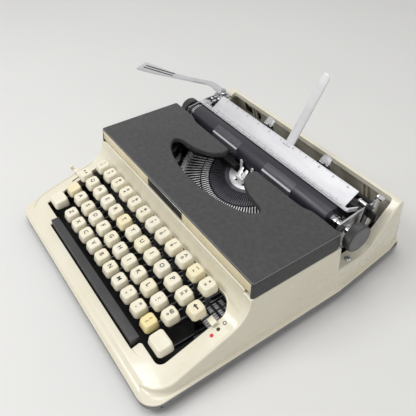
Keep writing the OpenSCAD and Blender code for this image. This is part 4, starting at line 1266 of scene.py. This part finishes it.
def table_scale():
    """Ticks along both edges of the paper table, and the numbers by its upper edge."""
    low, high = (Vector((-100, *p)) for p in (arc(*PLATEN, TABLE_R, TABLE_START, TABLE_START, 1)[0],
                                              TABLE_TOP))
    slope = Matrix.Rotation(math.atan2(high.z - low.z, high.y - low.y), 4, "X")
    lift = Matrix.Translation((0, 0, 0.00006))

    def on_table(share, along):
        spot = low.lerp(high, share) + Vector((along, 0, 0))
        return Matrix.Translation(spot * MM) @ slope @ lift
    down = Matrix.Scale(-1, 4, (0, 1, 0))
    rows = [ticks(101, 2.0, 0.32, 1.0, 2.2, 5, legend_ink(), place)
            for place in (on_table(0.985, 0) @ down, on_table(0.10, 0))]
    numbers = [text_mesh(str(10 * k), 2.4, on_table(0.86, 20 * k)) for k in range(11)]
    return joined("table_scale", rows + numbers)


def bail_scale():
    """Ticks along the paper bail."""
    angle, r = 63, 16.12
    start = Vector((-115, *arc(*PLATEN, r, angle, angle, 1)[0]))
    place = Matrix.Translation(start * MM) @ Matrix.Rotation(math.radians(angle) - math.pi / 2, 4, "X")
    return ticks(91, 2.54, 0.9, 3.0, 5.2, 5, legend_ink(),
                 place @ Matrix.Translation((0, -0.0036, 0.00005)))


class TYPEWRITER_OT_paper_table(bpy.types.Operator):
    """Satin paper table with its scales, the paper bail and the support arm"""
    bl_idname = "typewriter.paper_table"
    bl_label = "Paper table and bail"

    def execute(self, context):
        piece("satin_paper_table", paper_table(), "carriage", satin(), ["paper_table"], 30)
        piece("table_scale", table_scale(), "carriage", legend_ink())
        piece("bail_strip", eased_copy("paper_bail", 0.25), "bail", satin(), ["paper_bail"])
        piece("bail_scale", bail_scale(), "bail", legend_ink())
        arm = eased_copy("paper_support", 0.6, 3)
        piece("white_support_arm", arm, "support", white_plastic(), ["paper_support"])
        return {"FINISHED"}


# Carriage ends, rail, stops and levers

def line_space_works():
    """Bright studs, links and a spring at the carriage's left end, and two studs at its right end."""
    works = Shape()
    works.plate(eased([(86, 64), (104, 62), (113, 70), (113, 77), (103, 84), (96, 91), (86, 88)], 3, 5),
                -117.4, -116.2, 0.2, "YZ")
    works.block((-126.4, -125.2), (91, 112), (90.4, 91.8), 0.2, 0.4)
    works.block((-117.4, -114.0), (91.5, 96.5), (90.4, 91.6), 0.2, 0.8)
    works.block((-124.2, -121.0), (99, 107), (90.4, 91.4), 0.2, 1.0)
    for x, y, r in ((-122.4, 95.4, 2.0), (-116.4, 101.5, 2.4), (-115.6, 109.5, 1.8)):
        works.turned([(90.4, r * 0.9), (91.4, r), (91.9, r * 0.7), (91.9, 0.05)], (x, y, 0), "Z", 20)
    for y, z, r in ((92, 76, 2.6), (102, 75, 3.2), (97, 85, 1.8), (108, 72, 2.0)):
        stud = [(-123.6, 0.05), (-123.6, r * 0.8), (-123.2, r), (-121.9, r), (-121.9, r * 0.6),
                (-116.6, r * 0.6), (-116.6, 0.05)]
        works.turned(stud, (0, y, z), "X", 20)
    works.turned([(-126.9, 0.05), (-126.9, 1.2), (-113.2, 1.2), (-113.2, 0.05)], (0, 89.5, 84.5), "X", 12)
    works.coil((-125, 84, 87), (-125, 106, 84), 1.3, 0.32, 12)
    works.turned([(117.6, 0.05), (117.6, 2.3), (118.2, 2.6), (119.6, 2.6), (119.6, 1.9), (126.9, 1.9),
                  (126.9, 0.05)], (0, 101, 90.4), "X", 20)
    nut = [(129.0, 4.1), (129.0, 6.2), (131.0, 6.2), (131.6, 5.6), (131.6, 4.1)]
    return works.turned(nut, (0, *PLATEN), "X", 6)


def end_brackets():
    """Black plates at the carriage's two ends: painted shade behind the bright works there."""
    holder = Shape()
    outline = [(90, 74), (108, 74), (108, 84), (99, 88), (90, 86)]
    holder.plate(eased(outline, 2.5, 5), 120.2, 121.6, 0.3, "YZ")
    holder.block((113.4, 126.6), (93, 107), (86.2, 87.6), 0.3, 2.0)
    outline = [(88, 70), (100, 68), (108, 76), (104, 82), (92, 86)]
    holder.plate(eased(outline, 2.5, 5), -121.6, -120.6, 0.2, "YZ")
    return holder.block((-126.6, -113.4), (92, 113.5), (89.2, 90.6), 0.3, 2.5)


def margin_stop(x):
    """A margin stop at an X on its rail: the black slider, its bright clip and the frosted tab."""
    wide = (x - 6.9, x + 6.9)
    slider = Shape().block(wide, (109.7, 110.6), (78.6, 88), 0.25, 0.3)
    slider.block(wide, (115.4, 116.4), (78.6, 88), 0.25, 0.3)
    slider.block(wide, (109.7, 116.4), (86.4, 87.9), 0.3, 0.6)
    slider.block((x - 8, x + 3), (109.8, 113), (87.6, 92.6), 0.3, 0.6)
    clip = Shape().block((x - 7.4, x + 7.4), (114.2, 115.6), (87.6, 93.4), 0.3, 0.6)
    clip.block((x - 5.4, x + 1), (110.4, 112.4), (92.3, 93.2), 0.2, 0.5)
    clip.coil((x - 6, 116.9, 84), (x + 6, 116.9, 84), 1.1, 0.25, 8)
    outline = eased([(-6.4, 0), (6.4, 0), (5.8, 10.6), (-5.8, 10.6)], [1.5, 1.5, 4, 4], 5)
    lean = Matrix.Translation((x, 112.4, 91)) @ Matrix.Rotation(math.radians(-42), 4, "X")
    return slider, clip, Shape().plate(outline, -0.9, 0.9, 0.6, "XZ", lean)


class TYPEWRITER_OT_carriage(bpy.types.Operator):
    """Carriage end plates with their small levers, the margin rail and its stops"""
    bl_idname = "typewriter.carriage"
    bl_label = "Carriage ends and stops"

    def execute(self, context):
        for node in ("end_plate_left", "end_plate_right"):
            piece(node + "_pressing", eased_copy(node, 0.3), "carriage", steel(), [node])
        piece("line_space_works", line_space_works(), "carriage", chrome())
        # Black plates as painted shade behind the bright works at the carriage's ends.
        piece("carriage_end_bracket", end_brackets(), "carriage", black_gloss())
        rail = eased_copy("margin_rail", 0.4)
        piece("black_margin_rail", rail, "carriage", black_paint(), ["margin_rail"])
        for node, body, x in (("margin_stop_left", "stop_l", -34), ("margin_stop_right", "stop_r", 57)):
            slider, clip, tab = margin_stop(x)
            piece(node + "_slider", slider, body, black_gloss(), [node])
            piece(node + "_clip", clip, body, chrome())
            piece(node + "_tab", tab, body, frosted_plastic())
        return {"FINISHED"}


def lever_path():
    """The return lever's line, from its pivot to the end of its finger plate."""
    return through([RETURN_PIVOT, (-135, 112.6), (-150, 112.2), (-172, 99), (-197, 84.5), (-222, 73),
                    (-247, 62.5)], 8)


def beside(path, shifts):
    """A line in plan moved to its left, by one distance for each point."""
    out = []
    for i, (p, shift) in enumerate(zip(path, shifts)):
        t = (Vector(path[min(i + 1, len(path) - 1)]) - Vector(path[max(i - 1, 0)])).normalized()
        out.append(tuple(Vector(p) + Vector((-t.y, t.x)) * shift))
    return out


def return_bar():
    """The return lever: a flat bar that widens to a finger plate, with its boss."""
    path = lever_path()
    width = through([(0, 6.2), (0.17, 5.2), (0.3, 4.5), (0.48, 4.4), (0.64, 5.2), (0.8, 9.0), (1.0, 11.0)], 8)
    left, right = (beside(path, [side * w[1] for w in width]) for side in (1, -1))
    straight = [0] * (len(left) - 1)
    bar = Shape().plate(eased(left + right[::-1], straight + [4, 4] + straight, 4), 92.5, 94.9, 0.5)
    return bar.turned([(92.5, 3.1), (92.5, 5.4), (96.0, 5.4), (96.3, 5.0), (96.3, 3.1)],
                      (*path[0], 0), "Z", 40)


def plate_grooves():
    """Two dark grooves along the finger plate."""
    grooves = Shape()
    far = [p for p in lever_path() if p[0] < -192]
    for shift in (-2.8, 2.8):
        line = [(x, y, 94.95) for x, y in beside(far, [shift] * len(far))]
        grooves.swept(line[1:-2], [(-1.1, -0.1), (1.1, -0.1), (1.1, 0.06), (-1.1, 0.06)])
    return grooves


class TYPEWRITER_OT_return_lever(bpy.types.Operator):
    """Plated return lever with its grooved finger plate"""
    bl_idname = "typewriter.return_lever"
    bl_label = "Return lever"

    def execute(self, context):
        piece("plated_return_lever", return_bar(), "return", chrome(), ["return_lever"])
        piece("finger_plate_grooves", plate_grooves(), "return", black_paint())
        return {"FINISHED"}


# Small controls

def touch_slider():
    """The touch lever with its peg, which reaches over the side wall."""
    y = -86
    lean = Matrix.Translation((0, y, deck_z(y))) @ Matrix.Rotation(DECK_ANGLE, 4, "X")
    outline = eased([(-148.6, -5.4), (-139, -2.6), (-139, 2.6), (-146, 1.4), (-148.6, -0.6)], 0.8, 4)
    peg = Shape().plate(outline, 2.2, 4.6, 0.6, place=lean)
    peg.block((-149.2, -146.4), (-5.2, -1.4), (2.6, 9.6), 0.7, 1.0, place=lean)
    return joined("touch_lever_slider", [eased_copy("touch_lever", 0.5, 3), peg.mesh("peg")])


def colour_dot(x, y, r, rise):
    """A flat dot of paint that lies on the deck's slope."""
    disc = Shape().turned([(-0.3, r), (0.06 + rise, r), (0.08 + rise, r * 0.8), (0.08 + rise, 0.05)],
                          (0, 0, 0), "Z", 32)
    mesh = disc.mesh("dot")
    slope = Matrix.Rotation(math.atan((deck_z(y + 2) - deck_z(y - 2)) / 4), 4, "X")
    mesh.transform(Matrix.Translation(Vector((x, y, deck_z(y) + 0.04)) * MM) @ slope)
    return mesh


# Dots by the selector: name, place on the deck, colour, radius and rise over the dot below
DOTS = (("white_dot_ring", (132.6, -69.8), paint(14, 14, 14), 1.8, 0.0),
        ("white_dot", (132.6, -69.8), paint(235, 232, 225), 1.05, 0.03),
        ("black_dot", (133.3, -77.2), paint(8, 8, 8), 1.75, 0.0),
        ("red_dot", (134.0, -84.6), paint(205, 40, 52), 1.75, 0.0))


class TYPEWRITER_OT_controls(bpy.types.Operator):
    """Ribbon selector with its colour dots, touch lever and the two release levers"""
    bl_idname = "typewriter.controls"
    bl_label = "Selector and levers"

    def execute(self, context):
        selector = eased_copy("ribbon_selector", 0.5, 3)
        piece("ribbon_selector_slider", selector, "selector", ivory(), ["ribbon_selector"])
        piece("touch_lever_slider", touch_slider(), "touch", ivory(), ["touch_lever"])
        lever = eased_copy("paper_release", 0.3)
        piece("paper_release_lever", lever, "paper_rel", chrome(), ["paper_release"])
        flap = Shape().block((130.6, 144.6), (86.5, 95.6), (92.6, 94.6), 0.4, 1.6, "XZ")
        lever = joined("carriage_release_lever", [eased_copy("carriage_release", 0.3), flap.mesh("flap")])
        piece("carriage_release_lever", lever, "carriage_rel", black_gloss(),
              ["carriage_release"])
        for name, spot, colour, r, rise in DOTS:
            piece(name, colour_dot(*spot, r, rise), "body", dot_colour(name, colour))
        return {"FINISHED"}


# Works inside, and the feet

def lever_tails():
    """Ends of the key levers that show at the right of the keys."""
    tails = Shape()
    outline = eased([(-80, 30), (-46, 30), (-46, 36), (-66, 36), (-80, 33)], 1.5, 3)
    for x in (105.6, 108.0, 110.2, 114.3, 116.7, 119.1, 121.5):
        tails.plate(outline, x - 0.75, x + 0.75, 0.15, "YZ")
    return tails


def lever_guard():
    """Dark rods across the ends of the key levers."""
    guard = Shape()
    for y in (-72, -65.5, -59, -52.5):
        guard.tube([(105, y, 37.2), (124.5, y, 37.2)], 1.2, 8)
    return guard


class TYPEWRITER_OT_inside(bpy.types.Operator):
    """Finishes of the works inside and of the base, ends of the key levers and the turned feet"""
    bl_idname = "typewriter.inside"
    bl_label = "Inside and base"

    def execute(self, context):
        looks = (
            # The pan is black here, darker than its grey edge: painted shade, so the gaps under the type bars
            # and keys read dark.
            (black_paint(), ["base_pan"]),
            # Frames and levers deep inside are darkened as painted shade.
            (dark_steel(), ["side_frames", "cross_bar", "lever_comb", "carriage_frame", "shift_levers"]),
            (steel(), ["frame_rods", "spool_cups", "carriage_rail", "mainspring_drum", "levers_row_1",
                       "levers_row_2", "levers_row_3", "levers_row_4"]),
            (ribbon(), ["spool_left", "spool_right"]),
            (platen_rubber(), ["feed_roller"]),
            (brass(), ["escapement_wheel"]),
            (chrome(), ["bell"]),
        )
        for look, nodes in looks:
            for node in nodes:
                dress(node, look)
        piece("lever_tails", lever_tails(), "body", satin())
        piece("lever_guard", lever_guard(), "body", black_paint())
        foot = Shape().turned([(0, 2.15), (0, 6.6), (0.6, 7.6), (1.6, 8.1), (7.6, 8.8), (8.6, 8.9), (9, 8.4),
                               (9, 2.15)], (0, 0, 0), "Z", 40)
        marks = [((x, y, 0), (0, 0, 0)) for x in (-118, 118) for y in (-130, 130)]
        feet = on_marks(foot.mesh("foot"), marks, rubber())
        piece("turned_feet", feet, "body", rubber(), ["rubber_feet"])
        return {"FINISHED"}


# Stage

def pale_floor(look):
    """A wide plain floor."""
    bm = bmesh.new()
    bmesh.ops.create_grid(bm, x_segments=2, y_segments=2, size=6)
    mesh = bpy.data.meshes.new("floor")
    bm.to_mesh(mesh)
    bm.free()
    shade = tuple(c * 0.97 for c in look.floor)
    mesh.materials.append(finish("pale_floor", look.floor, shade, 3, rough=(0.6, 0.7)))
    bench("floor", mesh)


def studio_world(look):
    """Even light, with a plain pale ground for what the camera, metal and glass see."""
    world = bpy.data.worlds.new("studio")
    bpy.context.scene.world = world
    world.use_nodes = True
    nodes, link = world.node_tree.nodes, world.node_tree.links.new
    light = nodes["Background"]
    light.inputs["Color"].default_value = (1, 0.99, 0.97, 1)
    light.inputs["Strength"].default_value = look.ambient
    plain = nodes.new("ShaderNodeBackground")
    plain.inputs["Color"].default_value = (0.93, 0.93, 0.92, 1)
    rays = nodes.new("ShaderNodeLightPath")
    seen = rays.outputs["Is Camera Ray"]
    for kind in ("Is Glossy Ray", "Is Transmission Ray"):
        either = nodes.new("ShaderNodeMath")
        either.operation = "MAXIMUM"
        link(seen, either.inputs[0])
        link(rays.outputs[kind], either.inputs[1])
        seen = either.outputs[0]
    pick = nodes.new("ShaderNodeMixShader")
    for socket, source in enumerate((seen, light.outputs[0], plain.outputs[0])):
        link(source, pick.inputs[socket])
    link(pick.outputs[0], nodes["World Output"].inputs["Surface"])


def soft_lamp(name, spot, size, power):
    """A rectangular lamp that looks at the typewriter."""
    lamp = bpy.data.lights.new(name, "AREA")
    lamp.energy, lamp.shape, lamp.size, lamp.size_y = power, "RECTANGLE", *size
    obj = bench(name, lamp)
    obj.location = spot
    obj.rotation_euler = (Vector((0, 0, 0.05)) - Vector(spot)).to_track_quat("-Z", "Y").to_euler()


def photo_camera(look):
    """The camera, at the photograph's viewing angle."""
    lens = bpy.data.cameras.new("camera")
    lens.lens, lens.sensor_width = look.lens, 36
    lens.clip_start, lens.clip_end = 0.01, 50
    camera = bench("camera", lens)
    camera.location = (0.325, -0.2205, 0.4018)
    camera.rotation_euler = Vector((-0.608, 0.4206, -0.673)).to_track_quat("-Z", "Y").to_euler()
    bpy.context.scene.camera = camera


class TYPEWRITER_OT_stage(bpy.types.Operator):
    """Pale floor, soft lights and the camera"""
    bl_idname = "typewriter.stage"
    bl_label = "Stage"

    def execute(self, context):
        look = context.scene.typewriter_stage
        pale_floor(look)
        studio_world(look)
        soft_lamp("top_light", (0.0, -0.1, 1.5), (0.7, 0.7), look.top)
        soft_lamp("front_light", (-0.45, -1.05, 1.35), (0.8, 0.5), look.front)
        soft_lamp("side_light", (1.5, 0.0, 0.55), (0.16, 0.7), look.side)
        photo_camera(look)
        context.scene.view_settings.view_transform = "Standard"
        return {"FINISHED"}


# Values that a user may change

def colour_value(name, text, value):
    """A colour that a user may change."""
    return FloatVectorProperty(name=name, description=text, default=value, subtype="COLOR", size=3,
                               min=0, max=1)


def length_value(name, text, value):
    """A length in metres that a user may change."""
    return FloatProperty(name=name, description=text, default=value, subtype="DISTANCE", unit="LENGTH", min=0)


def power_value(name, text, value):
    """A lamp's power in watts that a user may change."""
    return FloatProperty(name=name, description=text, default=value, min=0, unit="POWER")


class BodyLook(bpy.types.PropertyGroup):
    """Colours and edges of the casing"""
    cream: colour_value("Cream", "Colour of the body's enamel", paint(231, 226, 209))
    yellowing: colour_value("Yellowing", "Colour of the enamel's aged patches", paint(219, 211, 182))
    # Colour of the painted highlight along the cover's outer edges.
    cover: colour_value("Cover", "Colour of the ribbon cover", paint(70, 70, 71))
    worn: colour_value("Worn edge", "Colour of the cover's worn edges", paint(128, 128, 129))
    ridge: length_value("Ridge radius", "Rounding between the deck and the side walls", 0.0018)
    bead: length_value("Bead", "Height of the bead along the deck's edge", 0.0006)


class KeyLook(bpy.types.PropertyGroup):
    """Colours and form of the key caps"""
    ivory: colour_value("Ivory", "Colour of the key caps", paint(240, 235, 217))
    yellowed: colour_value("Yellowed", "Colour of the most aged caps", paint(240, 224, 165))
    corner: length_value("Corner radius", "Rounding of a cap's corners", 0.0036)
    dish: length_value("Dish", "Hollow in the middle of a cap's top", 0.0004)


class BasketLook(bpy.types.PropertyGroup):
    """Number of type bars"""
    bars: IntProperty(name="Type bars", description="Number of type bars in the fan", default=43, min=3,
                      max=61)


class StageLook(bpy.types.PropertyGroup):
    """Floor, lamps and lens"""
    floor: colour_value("Floor", "Colour of the floor", (0.78, 0.78, 0.77))
    ambient: FloatProperty(name="Ambient", description="Strength of the even light", default=0.5, min=0)
    top: power_value("Top light", "Power of the lamp above", 6.0)
    front: power_value("Front light", "Power of the lamp in front", 11.0)
    side: power_value("Side light", "Power of the strip at the right", 0.5)
    lens: FloatProperty(name="Lens", description="Focal length of the camera", default=42.107, min=1,
                        unit="CAMERA")


OPERATORS = (TYPEWRITER_OT_body, TYPEWRITER_OT_cover, TYPEWRITER_OT_keys, TYPEWRITER_OT_type_basket,
             TYPEWRITER_OT_platen, TYPEWRITER_OT_paper_table, TYPEWRITER_OT_carriage,
             TYPEWRITER_OT_return_lever, TYPEWRITER_OT_controls, TYPEWRITER_OT_inside, TYPEWRITER_OT_stage)
LOOKS = {"typewriter_body": BodyLook, "typewriter_keys": KeyLook, "typewriter_basket": BasketLook,
         "typewriter_stage": StageLook}


class TYPEWRITER_PT_looks(bpy.types.Panel):
    """Lists the steps that dress the typewriter"""
    bl_idname = "TYPEWRITER_PT_looks"
    bl_label = "Typewriter"
    bl_space_type = "VIEW_3D"
    bl_region_type = "UI"
    bl_category = "Typewriter"

    def draw(self, context):
        for name, group in LOOKS.items():
            box = self.layout.box()
            for key in group.__annotations__:
                box.prop(getattr(context.scene, name), key)
        for step in OPERATORS:
            self.layout.operator(step.bl_idname)


def register():
    for group in (*LOOKS.values(), *OPERATORS, TYPEWRITER_PT_looks):
        bpy.utils.register_class(group)
    for name, group in LOOKS.items():
        setattr(bpy.types.Scene, name, PointerProperty(type=group))


def unregister():
    for name in LOOKS:
        delattr(bpy.types.Scene, name)
    for group in reversed((*LOOKS.values(), *OPERATORS, TYPEWRITER_PT_looks)):
        bpy.utils.unregister_class(group)


def main():
    register()
    for step in OPERATORS:
        family, name = step.bl_idname.split(".")
        getattr(getattr(bpy.ops, family), name)()


if __name__ == "__main__":
    main()
